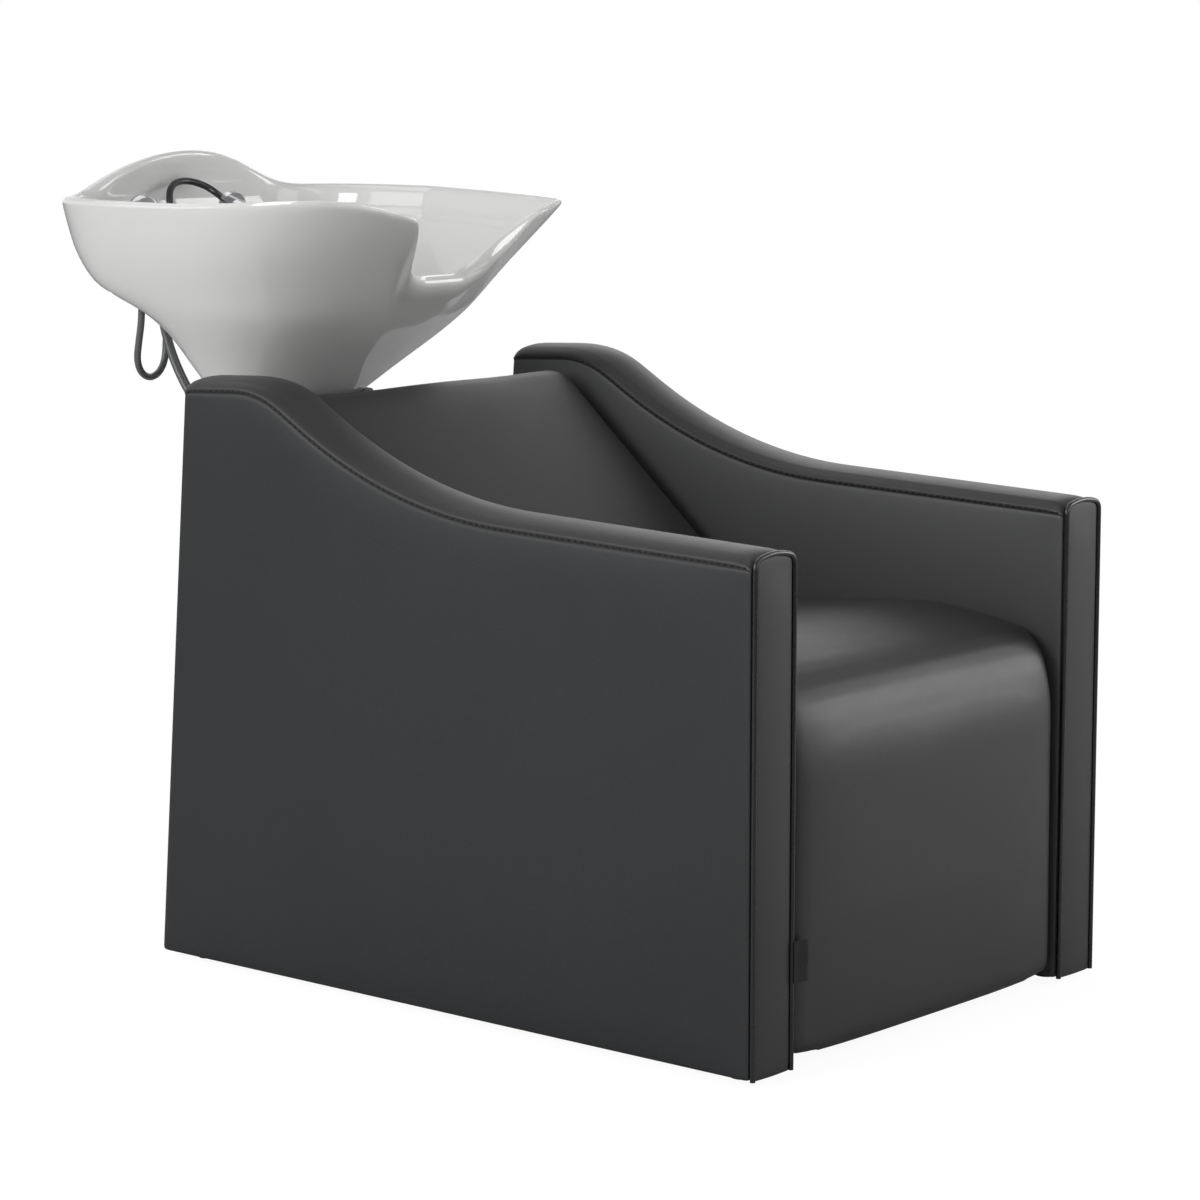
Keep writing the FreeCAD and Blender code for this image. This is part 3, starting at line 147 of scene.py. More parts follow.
# %% Camera
bpy.ops.object.camera_add(
    location=(-3.488, -3.080, 1.149), rotation=(math.radians(90 - 8.76), 0, math.radians(-49.64))
)
camera = bpy.context.object
camera.data.sensor_width = 36
camera.data.lens = 115.83
bpy.context.scene.camera = camera
print("camera looks along", tuple(round(value, 3) for value in camera.matrix_world.col[2][:3]))

# %% [markdown]
# ## Finishes
#
# An effect that several materials share is a node group with named inputs, so that it is built
# once. Each group reads the object's own coordinates, in metres, which gives every pattern its
# real size, and hands out only a colour, a roughness and a normal. The shader stays in the material.

# %% A helper for node groups
def new_group(name, inputs, outputs):
    group = bpy.data.node_groups.new(name, "ShaderNodeTree")
    for label, kind, value in inputs:
        socket = group.interface.new_socket(label, in_out="INPUT", socket_type=kind)
        socket.default_value = value
    for label, kind in outputs:
        group.interface.new_socket(label, in_out="OUTPUT", socket_type=kind)
    return group, group.nodes.new("NodeGroupInput"), group.nodes.new("NodeGroupOutput")


def noise(group, vector, scale, detail=2.0):
    node = group.nodes.new("ShaderNodeTexNoise")
    node.inputs["Scale"].default_value = scale
    node.inputs["Detail"].default_value = detail
    group.links.new(vector, node.inputs["Vector"])
    return node.outputs["Fac"]


def span(group, value, low, high):
    """Stretches a value from 0..1 to low..high; either end may be a socket or a number."""
    node = group.nodes.new("ShaderNodeMapRange")
    group.links.new(value, node.inputs["Value"])
    for label, end in (("To Min", low), ("To Max", high)):
        if isinstance(end, (int, float)):
            node.inputs[label].default_value = end
        else:
            group.links.new(end, node.inputs[label])
    return node.outputs["Result"]


def shaded(group, colour, value, low, high):
    """The colour, darker or lighter with the value."""
    node = group.nodes.new("ShaderNodeHueSaturation")
    group.links.new(colour, node.inputs["Color"])
    group.links.new(span(group, value, low, high), node.inputs["Value"])
    return node.outputs["Color"]


def math_node(group, operation, first, second):
    node = group.nodes.new("ShaderNodeMath")
    node.operation = operation
    for socket, value in zip(node.inputs, (first, second)):
        if isinstance(value, (int, float)):
            socket.default_value = value
        else:
            group.links.new(value, socket)
    return node.outputs[0]


# %% [markdown]
# Artificial leather is a pressed skin of small flat pebbles with fine valleys between them. It is
# a little uneven in colour, and duller where it has been touched. Cells give the pebbles and a
# soft noise the rest.

# %% Leather grain
SURFACE = [("Color", "NodeSocketColor"), ("Roughness", "NodeSocketFloat"), ("Normal", "NodeSocketVector")]


def leather_grain():
    group, given, result = new_group(
        "leather_grain",
        [
            ("Color", "NodeSocketColor", (0.03, 0.03, 0.03, 1)),
            ("Pebbles per metre", "NodeSocketFloat", 700.0),
            ("Depth", "NodeSocketFloat", 0.25),
            ("Dullness", "NodeSocketFloat", 0.42),
        ],
        SURFACE,
    )
    place = group.nodes.new("ShaderNodeTexCoord").outputs["Object"]
    cells = group.nodes.new("ShaderNodeTexVoronoi")
    cells.feature = "SMOOTH_F1"
    group.links.new(place, cells.inputs["Vector"])
    group.links.new(given.outputs["Pebbles per metre"], cells.inputs["Scale"])
    broad = noise(group, place, 5.0, 4.0)
    fine = noise(group, place, 60.0, 3.0)
    height = math_node(group, "ADD", cells.outputs["Distance"], math_node(group, "MULTIPLY", fine, 0.6))
    bump = group.nodes.new("ShaderNodeBump")
    bump.inputs["Distance"].default_value = 0.0004
    group.links.new(given.outputs["Depth"], bump.inputs["Strength"])
    group.links.new(height, bump.inputs["Height"])
    tone = shaded(group, given.outputs["Color"], broad, 0.82, 1.18)
    group.links.new(shaded(group, tone, cells.outputs["Distance"], 1.08, 0.86), result.inputs["Color"])
    rough = math_node(group, "ADD", given.outputs["Dullness"], span(group, broad, -0.06, 0.07))
    rough = math_node(group, "ADD", rough, span(group, fine, -0.03, 0.03))
    group.links.new(rough, result.inputs["Roughness"])
    group.links.new(bump.outputs["Normal"], result.inputs["Normal"])
    return group


# %% [markdown]
# Most other finishes need the same three things at other sizes: mottling, an uneven gloss and a
# shallow texture, sometimes drawn out along one direction as in brushed metal or wood. One group
# with a stretch input serves them all.

# %% Mottled surface
def mottled_surface():
    group, given, result = new_group(
        "mottled_surface",
        [
            ("Color", "NodeSocketColor", (0.5, 0.5, 0.5, 1)),
            ("Scale", "NodeSocketFloat", 40.0),
            ("Stretch", "NodeSocketVector", (1, 1, 1)),
            ("Mottle", "NodeSocketFloat", 0.05),
            ("Dullness", "NodeSocketFloat", 0.4),
            ("Uneven gloss", "NodeSocketFloat", 0.06),
            ("Depth", "NodeSocketFloat", 0.1),
        ],
        SURFACE,
    )
    place = group.nodes.new("ShaderNodeTexCoord").outputs["Object"]
    stretched = group.nodes.new("ShaderNodeVectorMath")
    stretched.operation = "MULTIPLY"
    group.links.new(place, stretched.inputs[0])
    group.links.new(given.outputs["Stretch"], stretched.inputs[1])
    grain = group.nodes.new("ShaderNodeTexNoise")
    grain.inputs["Detail"].default_value = 5.0
    group.links.new(stretched.outputs["Vector"], grain.inputs["Vector"])
    group.links.new(given.outputs["Scale"], grain.inputs["Scale"])
    broad = noise(group, place, 9.0, 2.0)
    low = math_node(group, "SUBTRACT", 1.0, given.outputs["Mottle"])
    high = math_node(group, "ADD", 1.0, given.outputs["Mottle"])
    group.links.new(
        shaded(group, given.outputs["Color"], grain.outputs["Fac"], low, high), result.inputs["Color"]
    )
    uneven = math_node(group, "MULTIPLY", span(group, broad, -1.0, 1.0), given.outputs["Uneven gloss"])
    group.links.new(math_node(group, "ADD", given.outputs["Dullness"], uneven), result.inputs["Roughness"])
    bump = group.nodes.new("ShaderNodeBump")
    bump.inputs["Distance"].default_value = 0.0005
    group.links.new(given.outputs["Depth"], bump.inputs["Strength"])
    group.links.new(grain.outputs["Fac"], bump.inputs["Height"])
    group.links.new(bump.outputs["Normal"], result.inputs["Normal"])
    return group


GRAIN = leather_grain()
MOTTLED = mottled_surface()

# %% Materials from the two groups
def material(name, group, values, **shader):
    """A material whose colour, roughness and normal come from a group, the rest from plain values."""
    made = bpy.data.materials.new(name)
    made.use_nodes = True
    nodes, links = made.node_tree.nodes, made.node_tree.links
    surface = nodes["Principled BSDF"]
    effect = nodes.new("ShaderNodeGroup")
    effect.node_tree = group
    for label, value in values.items():
        effect.inputs[label].default_value = value
    links.new(effect.outputs["Color"], surface.inputs["Base Color"])
    links.new(effect.outputs["Roughness"], surface.inputs["Roughness"])
    links.new(effect.outputs["Normal"], surface.inputs["Normal"])
    for label, value in shader.items():
        surface.inputs[label.replace("_", " ")].default_value = value
    return made


def leather(name, colour, dullness=0.42, depth=0.25, **shader):
    values = {"Color": (*colour, 1), "Dullness": dullness, "Depth": depth}
    return material(name, GRAIN, values, **shader)


def mottled(name, colour, scale, mottle, dullness, uneven, depth, stretch=(1, 1, 1), **shader):
    values = {
        "Color": (*colour, 1), "Scale": scale, "Mottle": mottle, "Dullness": dullness,
        "Uneven gloss": uneven, "Depth": depth, "Stretch": stretch,
    }
    return material(name, MOTTLED, values, **shader)


PANEL_LEATHER_PAINTED_LIGHT = leather("slate leather", (0.0145, 0.0160, 0.0178), 0.48)
BAND_LEATHER = leather("charcoal leather", (0.0165, 0.0162, 0.0160), 0.45)
SEAT_LEATHER = leather("seat leather", (0.0200, 0.0197, 0.0207), 0.47)
PIPING = leather("piping vinyl", (0.014, 0.014, 0.015), 0.26, 0.1)
THREAD = mottled("sewing thread", (0.008, 0.008, 0.009), 900, 0.3, 0.7, 0.05, 0.4)
TAG_CLOTH = mottled("tag cloth", (0.008, 0.008, 0.008), 1500, 0.4, 0.85, 0.05, 0.6, (1, 1, 0.15))
CERAMIC = mottled("white glaze", (0.84, 0.84, 0.83), 6, 0.01, 0.055, 0.012, 0.03, Coat_Weight=0.3)
CHROME = mottled("chrome", (0.42, 0.42, 0.43), 30, 0.03, 0.10, 0.03, 0.01, Metallic=1.0)
STEEL = mottled("zinc plated steel", (0.55, 0.55, 0.56), 60, 0.12, 0.34, 0.06, 0.1, Metallic=1.0)
BLACK_METAL = mottled("black powder coat", (0.022, 0.022, 0.024), 420, 0.12, 0.5, 0.05, 0.35)
BLACK_PLASTIC = mottled("black plastic", (0.02, 0.02, 0.021), 500, 0.1, 0.42, 0.05, 0.15)
WHITE_PLASTIC = mottled("white plastic", (0.72, 0.72, 0.70), 300, 0.04, 0.4, 0.05, 0.06)
RUBBER = mottled("rubber", (0.03, 0.03, 0.03), 350, 0.15, 0.7, 0.06, 0.25)
BRASS = mottled("nickelled brass", (0.55, 0.50, 0.42), 80, 0.08, 0.24, 0.06, 0.05, Metallic=1.0)
PLYWOOD = mottled("plywood", (0.50, 0.36, 0.22), 30, 0.25, 0.62, 0.05, 0.2, (1, 0.12, 6))
STAINED_BOARD = mottled("stained board", (0.018, 0.018, 0.019), 60, 0.2, 0.6, 0.05, 0.25, (1, 1, 0.15))
HOSE_SLEEVE = mottled("grey hose sleeve", (0.13, 0.135, 0.135), 300, 0.06, 0.34, 0.04, 0.08)
SLEEVE_PAINTED_DARK_ARC = mottled("polished hose sleeve", (0.13, 0.135, 0.135), 300, 0.06, 0.26, 0.04, 0.05)


def paint_tone_along(made, axis, low, high, tone):
    """Paints a tone into the material's base colour between two distances from the origin along an axis;
    used here for painted light and a painted dark reflection.
    """
    nodes, links = made.node_tree.nodes, made.node_tree.links
    surface = nodes["Principled BSDF"]
    plain = surface.inputs["Base Color"].links[0].from_socket
    place = nodes.new("ShaderNodeSeparateXYZ")
    links.new(nodes.new("ShaderNodeTexCoord").outputs["Object"], place.inputs[0])
    size = nodes.new("ShaderNodeMath")
    size.operation = "ABSOLUTE"
    links.new(place.outputs[axis], size.inputs[0])
    change = nodes.new("ShaderNodeMapRange")
    change.inputs["From Min"].default_value, change.inputs["From Max"].default_value = low, high
    links.new(size.outputs[0], change.inputs["Value"])
    mix = nodes.new("ShaderNodeMix")
    mix.data_type = "RGBA"
    links.new(change.outputs["Result"], mix.inputs["Factor"])
    links.new(plain, mix.inputs[6])
    mix.inputs[7].default_value = (*tone, 1)
    links.new(mix.outputs[2], surface.inputs["Base Color"])


# Painted dark reflection: the polished shower hose sleeve turns near-black from 0.84 m up, fully so above
# 0.88 m. The arc over the tap deck is dark only as a stand-in for the dark studio it would reflect.
paint_tone_along(SLEEVE_PAINTED_DARK_ARC, "Z", 0.84, 0.88, (0.012, 0.012, 0.013))
# Painted light: wherever the arm panels are nearer the middle than 0.275 m, they get a base colour almost
# five times lighter than the outer faces. This stands in for light from above that falls between the arms
# onto their inner faces.
paint_tone_along(PANEL_LEATHER_PAINTED_LIGHT, "X", 0.290, 0.275, (0.068, 0.069, 0.072))
print(len(bpy.data.materials), "materials")

# %% [markdown]
# ## Hoses
#
# The shower hose leaves the mixing block under the tap deck, hangs in a narrow loop below the
# basin, rises through a grommet in the deck and arches over to the end of the hand spray. Two
# supply hoses go down into the housing. Each is one smooth NURBS line with the same points as the
# solid model's tube, and a round bevel.

# %% Hose lines
HOSE_RADIUS = 0.0045
SHOWER_HOSE_ROUTE = [
    (-0.133, 0.534, 0.788), (-0.133, 0.534, 0.758), (-0.135, 0.538, 0.729), (-0.136, 0.542, 0.702),
    (-0.125, 0.545, 0.684), (-0.105, 0.549, 0.677), (-0.085, 0.553, 0.684), (-0.074, 0.555, 0.700),
    (-0.072, 0.555, 0.729), (-0.068, 0.556, 0.770), (-0.061, 0.557, 0.812), (-0.055, 0.558, 0.852),
    (-0.054, 0.560, 0.879), (-0.053, 0.565, 0.901), (-0.044, 0.573, 0.916), (-0.024, 0.581, 0.924),
    (0.000, 0.581, 0.924), (0.0175, 0.570, 0.917), (0.0250, 0.553, 0.9050), (0.02004, 0.53315, 0.89703),
]
SUPPLY_HOSE_ROUTE = [
    (-0.105, 0.529, 0.788), (-0.105, 0.529, 0.762), (-0.103, 0.525, 0.736), (-0.101, 0.513, 0.702),
    (-0.098, 0.491, 0.664), (-0.092, 0.462, 0.628), (-0.085, 0.431, 0.594), (-0.080, 0.406, 0.560),
    (-0.079, 0.397, 0.528), (-0.079, 0.397, 0.500),
]
COLD_SHIFT = (0.017, 0.0144, 0.0)


def hose(name, route, shift, node, surface):
    route = [tuple(value + move for value, move in zip(point, shift)) for point in route]
    line = bpy.data.curves.new(name, "CURVE")
    line.dimensions = "3D"
    spline = line.splines.new("NURBS")
    spline.points.add(len(route) - 1)
    for point, place in zip(spline.points, route):
        point.co = (*place, 1)
    spline.order_u = 3
    spline.use_endpoint_u = True
    spline.resolution_u = 8
    line.bevel_depth = HOSE_RADIUS
    line.bevel_resolution = 5
    line.use_fill_caps = True
    piece = bpy.data.objects.new(name, line)
    bpy.context.scene.collection.objects.link(piece)
    line.materials.append(surface)
    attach(piece, "basin_head")
    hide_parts(node)
    return piece


# The shower hose's material has a painted dark reflection on its arc above the deck.
hose("shower_hose_line", SHOWER_HOSE_ROUTE, (0, 0, 0), "shower_hose",
     SLEEVE_PAINTED_DARK_ARC)
hose("hot_hose_line", SUPPLY_HOSE_ROUTE, (0, 0, 0), "supply_hose_hot",
     HOSE_SLEEVE)
hose("cold_hose_line", SUPPLY_HOSE_ROUTE, COLD_SHIFT, "supply_hose_cold",
     HOSE_SLEEVE)

# %% [markdown]
# ## Shared shapes for the upholstery
#
# Padded pieces here all start as a cube cut into an even grid. Each point of the grid is then sent
# to its place on a box with rounded edges, and from there to the curved form. The grid stays even,
# so a subdivision surface gives a soft skin without creases.

# %% A rounded box from a gridded cube
def gridded_cube(name, cuts):
    start_clean()
    bpy.ops.mesh.primitive_cube_add(size=2)
    piece = named(name)
    bpy.ops.object.mode_set(mode="EDIT")
    bpy.ops.mesh.select_all(action="SELECT")
    bpy.ops.mesh.subdivide(number_cuts=cuts)
    bpy.ops.object.mode_set(mode="OBJECT")
    return piece


def rounded_box(grid, half, radius):
    """Grid points from -1 to 1 on a box of these half sizes with rounded edges."""
    half = np.array(half)
    at = grid * half
    core = np.clip(at, radius - half, half - radius)
    away = at - core
    length = np.linalg.norm(away, axis=1, keepdims=True)
    return core + np.where(length > 1e-9, away / np.maximum(length, 1e-9) * radius, 0)


def crowded(grid, amount=0.35):
    """Moves grid lines towards the edges, where the surface turns."""
    return grid * (1 + amount * (1 - grid ** 2))


# %% [markdown]
# The crest of each arm runs almost level from the front, rises in a long S and ends level again at
# the back. As in a drawing it is a chain of straight runs with an arc at each corner. The seam
# follows it 17 mm below the crest.

# %% The arm's seam line
DEPTH_SHIFT = -cad_box[1][1]
GLIDE = 0.008
CREST_RISE = 0.017
SEAM_CORNERS = [(0.008, 0.563), (0.530, 0.579), (0.742, 0.702), (0.864, 0.696)]
SEAM_RADII = [0.670, 0.130]


def rounded_chain(corners, radii, per_arc=24):
    """Points along straight runs whose inner corners are replaced by tangent arcs."""
    chain = [np.array(corners[0])]
    for before, corner, after, radius in zip(corners, corners[1:], corners[2:], radii):
        before, corner, after = map(np.array, (before, corner, after))
        back = (before - corner) / np.linalg.norm(before - corner)
        ahead = (after - corner) / np.linalg.norm(after - corner)
        half_turn = (math.pi - math.acos(np.clip(back @ ahead, -1, 1))) / 2
        inward = (back + ahead) / np.linalg.norm(back + ahead)
        centre = corner + inward * radius / math.cos(half_turn)
        first = corner + back * radius * math.tan(half_turn) - centre
        last = corner + ahead * radius * math.tan(half_turn) - centre
        for share in np.linspace(0, 1, per_arc):
            mix = first * math.sin((1 - share) * 2 * half_turn) + last * math.sin(share * 2 * half_turn)
            chain.append(centre + mix / math.sin(2 * half_turn))
    chain.append(np.array(corners[-1]))
    return np.array(chain)


SEAM = rounded_chain(SEAM_CORNERS, SEAM_RADII)
SEAM_LENGTH = np.concatenate([[0], np.cumsum(np.linalg.norm(np.diff(SEAM, axis=0), axis=1))])


def seam_height(depth):
    return np.interp(depth, SEAM[:, 0], SEAM[:, 1])


def along_seam(share):
    """Depth, height and the upward normal at a share of the seam's length."""
    at = np.clip(share, 0, 1) * SEAM_LENGTH[-1]
    depth, height = (np.interp(at, SEAM_LENGTH, SEAM[:, axis]) for axis in (0, 1))
    step = 0.01
    ahead, behind = (
        [np.interp(place, SEAM_LENGTH, SEAM[:, axis]) for axis in (0, 1)]
        for place in (np.clip(at + move, 0, SEAM_LENGTH[-1]) for move in (step, -step))
    )
    run, rise = ahead[0] - behind[0], ahead[1] - behind[1]
    size = np.hypot(run, rise)
    return depth, height, -rise / size, run / size


print("seam length", round(float(SEAM_LENGTH[-1]), 3))

# %% [markdown]
# ## Arms
#
# Below the seam each arm is one taut, thinly padded slab. Its faces bulge by a couple of
# millimetres and its edges are drawn in where the covers are sewn together.

# %% Arm panels
ARM_HALF = 0.0365
ARM_MIDDLE = cad_box[1][0] - ARM_HALF
REAR_TOP, REAR_FOOT = 0.864, 0.918
PANEL_BULGE = 0.003


def arm_panel(side):
    piece = gridded_cube(side + "_arm_panel", 60)
    grid = crowded(points_of(piece))
    half_run, half_depth = 0.45, 0.30
    local = rounded_box(grid, (ARM_HALF, half_run, half_depth), 0.004)
    u, v, w = local[:, 0] / ARM_HALF, local[:, 1] / half_run, local[:, 2] / half_depth
    share = (w + 1) / 2
    rear = REAR_FOOT + (REAR_TOP - REAR_FOOT) * share
    depth = 0.0085 + (v + 1) / 2 * (rear - 0.0085)
    height = GLIDE + share * (seam_height(depth) - GLIDE)
    bulge = PANEL_BULGE * (1 - np.abs(v) ** 6) * (1 - np.abs(w) ** 16)
    x = SIDES[side] * ARM_MIDDLE + local[:, 0] + np.sign(u) * bulge * (np.abs(u) > 0.8)
    set_points(piece, np.column_stack([x, depth + DEPTH_SHIFT, height]))
    piece.modifiers.new("Subdivision", "SUBSURF").levels = 1
    piece.modifiers["Subdivision"].render_levels = 1
    apply_all(piece)
    smooth_faces(piece)
    # The panel's material has painted light on its inner face.
    return finish(piece, "chair", PANEL_LEATHER_PAINTED_LIGHT, [side + "_arm_cover"])


for side in SIDES:
    arm_panel(side)

# %% [markdown]
# The band over the arm is softer. Across, it is a flat crown between two tight shoulders. It is
# swept along the seam line, and it swells slightly just above the seam, where the thread pulls it in.

# %% Arm top bands
SHOULDER = 0.014
CROWN_FOOT = ARM_HALF - SHOULDER
CROWN_RADIUS = (CROWN_FOOT ** 2 + CREST_RISE ** 2 - SHOULDER ** 2) / (2 * (CREST_RISE - SHOULDER))


def arch_profile(steps=80):
    """The arch across the arm, evenly spaced from one seam over the crown to the other."""
    crown_height = CREST_RISE - CROWN_RADIUS
    join_angle = math.atan2(-crown_height, CROWN_FOOT)
    points = []
    for angle in np.linspace(0, join_angle, 30):
        points.append((CROWN_FOOT + SHOULDER * math.cos(angle), SHOULDER * math.sin(angle)))
    for angle in np.linspace(join_angle, math.pi / 2, 30)[1:]:
        points.append((CROWN_RADIUS * math.cos(angle), crown_height + CROWN_RADIUS * math.sin(angle)))
    right = np.array(points)
    left = right[::-1][1:] * (-1, 1)
    profile = np.vstack([right, left])[::-1]
    run = np.concatenate([[0], np.cumsum(np.linalg.norm(np.diff(profile, axis=0), axis=1))])
    even = np.linspace(0, run[-1], steps)
    return np.column_stack([np.interp(even, run, profile[:, axis]) for axis in (0, 1)])


ARCH = arch_profile()


def arm_band(side):
    piece = gridded_cube(side + "_arm_band", 60)
    grid = points_of(piece)
    u, v, w = grid[:, 0], grid[:, 1], grid[:, 2]
    on_arch = w > 0.999
    arch_at = np.linspace(-1, 1, len(ARCH))
    x = np.where(on_arch, np.interp(u, arch_at, ARCH[:, 0]), u * (ARM_HALF - 0.0006))
    lift = np.where(on_arch, np.interp(u, arch_at, ARCH[:, 1]), (w - 1) * 0.002)
    swell = 0.0014 * np.exp(-((lift - 0.004) / 0.004) ** 2) * on_arch
    x = x + np.sign(x) * swell
    share = (v + 1) / 2
    depth, height, lean_y, lean_z = along_seam(share)
    ends = np.minimum(share, 1 - share) * SEAM_LENGTH[-1]
    lift = lift - 0.0035 * np.exp(-ends / 0.004) * on_arch
    place = np.column_stack([
        SIDES[side] * ARM_MIDDLE + x, depth + lift * lean_y + DEPTH_SHIFT, height + lift * lean_z,
    ])
    set_points(piece, place)
    piece.modifiers.new("Subdivision", "SUBSURF").levels = 1
    piece.modifiers["Subdivision"].render_levels = 1
    apply_all(piece)
    smooth_faces(piece)
    return finish(piece, "chair", BAND_LEATHER, [side + "_arm_top_band"])


for side in SIDES:
    arm_band(side)

# %% [markdown]
# The front of each arm is a narrow strip with a round head, set inside a welt. It is the arch of
# the band drawn smaller, so that the welt fits around it.

# %% Arm front strips
WELT = 0.003
STRIP_INSET = 2 * WELT + 0.0003
FRONT_SEAM_HEIGHT = SEAM_CORNERS[0][1]


def front_strip(side):
    piece = gridded_cube(side + "_arm_front_strip", 40)
    grid = crowded(points_of(piece))
    half = ARM_HALF - STRIP_INSET
    local = rounded_box(grid, (half, 0.004, 0.28), 0.0025)
    share = (local[:, 2] / 0.28 + 1) / 2
    x = local[:, 0]
    scale = half / ARM_HALF
    head = FRONT_SEAM_HEIGHT + np.interp(x / scale, ARCH[:, 0], ARCH[:, 1]) * scale
    height = GLIDE + share * (head - GLIDE)
    crown = 0.0015 * (1 - (x / half) ** 2) * (grid[:, 1] < 0) * np.minimum(1, (1 - share) * 12)
    depth = 0.0062 + local[:, 1] * 0.5 - crown
    set_points(piece, np.column_stack([SIDES[side] * ARM_MIDDLE + x, depth + DEPTH_SHIFT, height]))
    piece.modifiers.new("Subdivision", "SUBSURF").levels = 1
    piece.modifiers["Subdivision"].render_levels = 1
    apply_all(piece)
    smooth_faces(piece)
    return finish(piece, "chair", BAND_LEATHER, [side + "_arm_front_panel"])


for side in SIDES:
    front_strip(side)

# %% [markdown]
# Stitches are short beads of thread that stand a little out of the leather. One is modelled, and
# copies of it are laid along the seam on both faces of the arm and joined.

# %% Stitches along the arm seams
STITCH_LENGTH, STITCH_GAP, THREAD_RADIUS, STITCH_LIFT = 0.0062, 0.0090, 0.0011, 0.0012


def repeated(name, unit, places):
    """Copies the unit to each place, an origin and three directions, and joins the copies."""
    points = points_of(unit)
    start_clean()
    for origin, axes in places:
        copy = unit.copy()
        copy.data = unit.data.copy()
        bpy.context.scene.collection.objects.link(copy)
        set_points(copy, points @ np.array(axes) + origin)
        copy.select_set(True)
    bpy.context.view_layer.objects.active = copy
    bpy.ops.object.join()
    bpy.data.objects.remove(unit)
    return named(name)


def stitch_unit():
    start_clean()
    bpy.ops.mesh.primitive_uv_sphere_add(segments=8, ring_count=6, radius=1)
    unit = named("stitch")
    set_points(unit, points_of(unit) * (THREAD_RADIUS, STITCH_LENGTH / 2, THREAD_RADIUS))
    return unit


def arm_stitches(side):
    count = int(SEAM_LENGTH[-1] / STITCH_GAP)
    places = []
    for face in (-1, 1):
        for index in range(1, count):
            depth, height, lean_y, lean_z = along_seam(index / count)
            x = SIDES[side] * ARM_MIDDLE + face * (ARM_HALF + STITCH_LIFT)
            origin = (x, depth + STITCH_LIFT * lean_y + DEPTH_SHIFT, height + STITCH_LIFT * lean_z)
            places.append((origin, [(1, 0, 0), (0, lean_z, -lean_y), (0, lean_y, lean_z)]))
    piece = repeated(side + "_arm_stitches", stitch_unit(), places)
    smooth_faces(piece)
    return finish(piece, "chair", THREAD)


for side in SIDES:
    arm_stitches(side)

# %% [markdown]
# A small plain ribbon is folded once and sewn into the welt low on the inner side of the left arm.
# It stands out of the seam and curls a little forwards at its fold.

# %% Ribbon tag
def ribbon_tag():
    piece = gridded_cube("ribbon_tag", 12)
    grid = points_of(piece)
    out, face, up = (grid[:, 0] + 1) / 2, grid[:, 1], (grid[:, 2] + 1) / 2
    fold = np.sqrt(np.clip(1 - out ** 8, 0, 1))
    thick = 0.0009 * fold + 0.0002
    x = -ARM_MIDDLE + ARM_HALF - 0.004 + out * 0.020
    depth = 0.0010 - 0.0045 * out ** 1.4 + face * thick + 0.0005 * np.sin(up * 7) * out
    height = 0.105 + up * 0.046
    set_points(piece, np.column_stack([x, depth + DEPTH_SHIFT, height]))
    smooth_faces(piece, 50)
    return finish(piece, "chair", TAG_CLOTH, ["seam_tag"])


ribbon_tag()

# %% [markdown]
# ## Seat and back
#
# The seat is one waterfall pad: its top rolls over a round nose and hangs to the floor as an
# apron; its rear slopes down towards the foot of the back, and a narrow gap stays open between the
# two. The back is a broad slab leaning away. Both are foam under a taut cover, so after the
# shape is set they are blown up slightly with a cloth simulation, and the movement is capped.

# %% Blowing up a pad
EVENING_ROUNDS = 120


def evened(move, piece, rounds):
    """Shares each point's movement with its neighbours, round after round, as dense foam does."""
    ends = np.empty(len(piece.data.edges) * 2, int)
    piece.data.edges.foreach_get("vertices", ends)
    one, other = ends[0::2], ends[1::2]
    count = len(move)
    neighbours = np.bincount(ends, minlength=count)[:, None]
    for _ in range(rounds):
        total = np.column_stack([
            np.bincount(one, move[other, axis], count) + np.bincount(other, move[one, axis], count)
            for axis in range(3)
        ])
        move = (move + total / neighbours) / 2
    return move


def blow_up(piece, voxel, cap, allow):
    """Remeshes a pad evenly, inflates it as cloth and keeps each point's move within the cap."""
    piece.modifiers.new("Remesh", "REMESH").mode = "VOXEL"
    piece.modifiers["Remesh"].voxel_size = voxel
    apply_all(piece)
    before = points_of(piece)
    cloth = piece.modifiers.new("Cloth", "CLOTH")
    cloth.settings.use_pressure = True
    cloth.settings.uniform_pressure_force = 4
    cloth.settings.effector_weights.gravity = 0
    for number in range(1, 21):
        bpy.context.scene.frame_set(number)
    blown = piece.evaluated_get(bpy.context.evaluated_depsgraph_get())
    after = points_of(blown)
    piece.modifiers.remove(cloth)
    bpy.context.scene.frame_set(1)
    move = after - before
    size = np.linalg.norm(move, axis=1, keepdims=True)
    move *= np.minimum(1, cap / np.maximum(size, 1e-9))
    move = evened(move, piece, EVENING_ROUNDS) * allow(before)[:, None]
    set_points(piece, before + move)
    print(piece.name, "moved at most", round(float(np.abs(move).max()) * 1000, 1), "mm")
    relax = piece.modifiers.new("Smooth", "SMOOTH")
    relax.iterations = 8
    piece.modifiers.new("Subdivision", "SUBSURF").levels = 1
    piece.modifiers["Subdivision"].render_levels = 1
    apply_all(piece)
    smooth_faces(piece)


# %% Seat pad
SEAT_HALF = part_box("seat_cushion")[1][0]
SEAT_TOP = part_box("seat_cushion")[1][2]
SEAT_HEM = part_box("seat_cushion")[0][2]
SEAT_FRONT, SEAT_REAR, SEAT_BOX_FRONT = 0.003, 0.442, 0.047
SEAT_PROFILE = rounded_chain(
    [
        (SEAT_BOX_FRONT - 0.022, SEAT_HEM), (SEAT_FRONT, SEAT_HEM), (SEAT_FRONT, SEAT_TOP - 0.105),
        (SEAT_FRONT + 0.014, SEAT_TOP - 0.018), (0.165, SEAT_TOP + 0.002),
        (SEAT_REAR, SEAT_TOP - 0.021), (SEAT_REAR + 0.044, SEAT_TOP - 0.072),
    ],
    [0.012, 0.300, 0.060, 0.350, 0.014], 16,
)


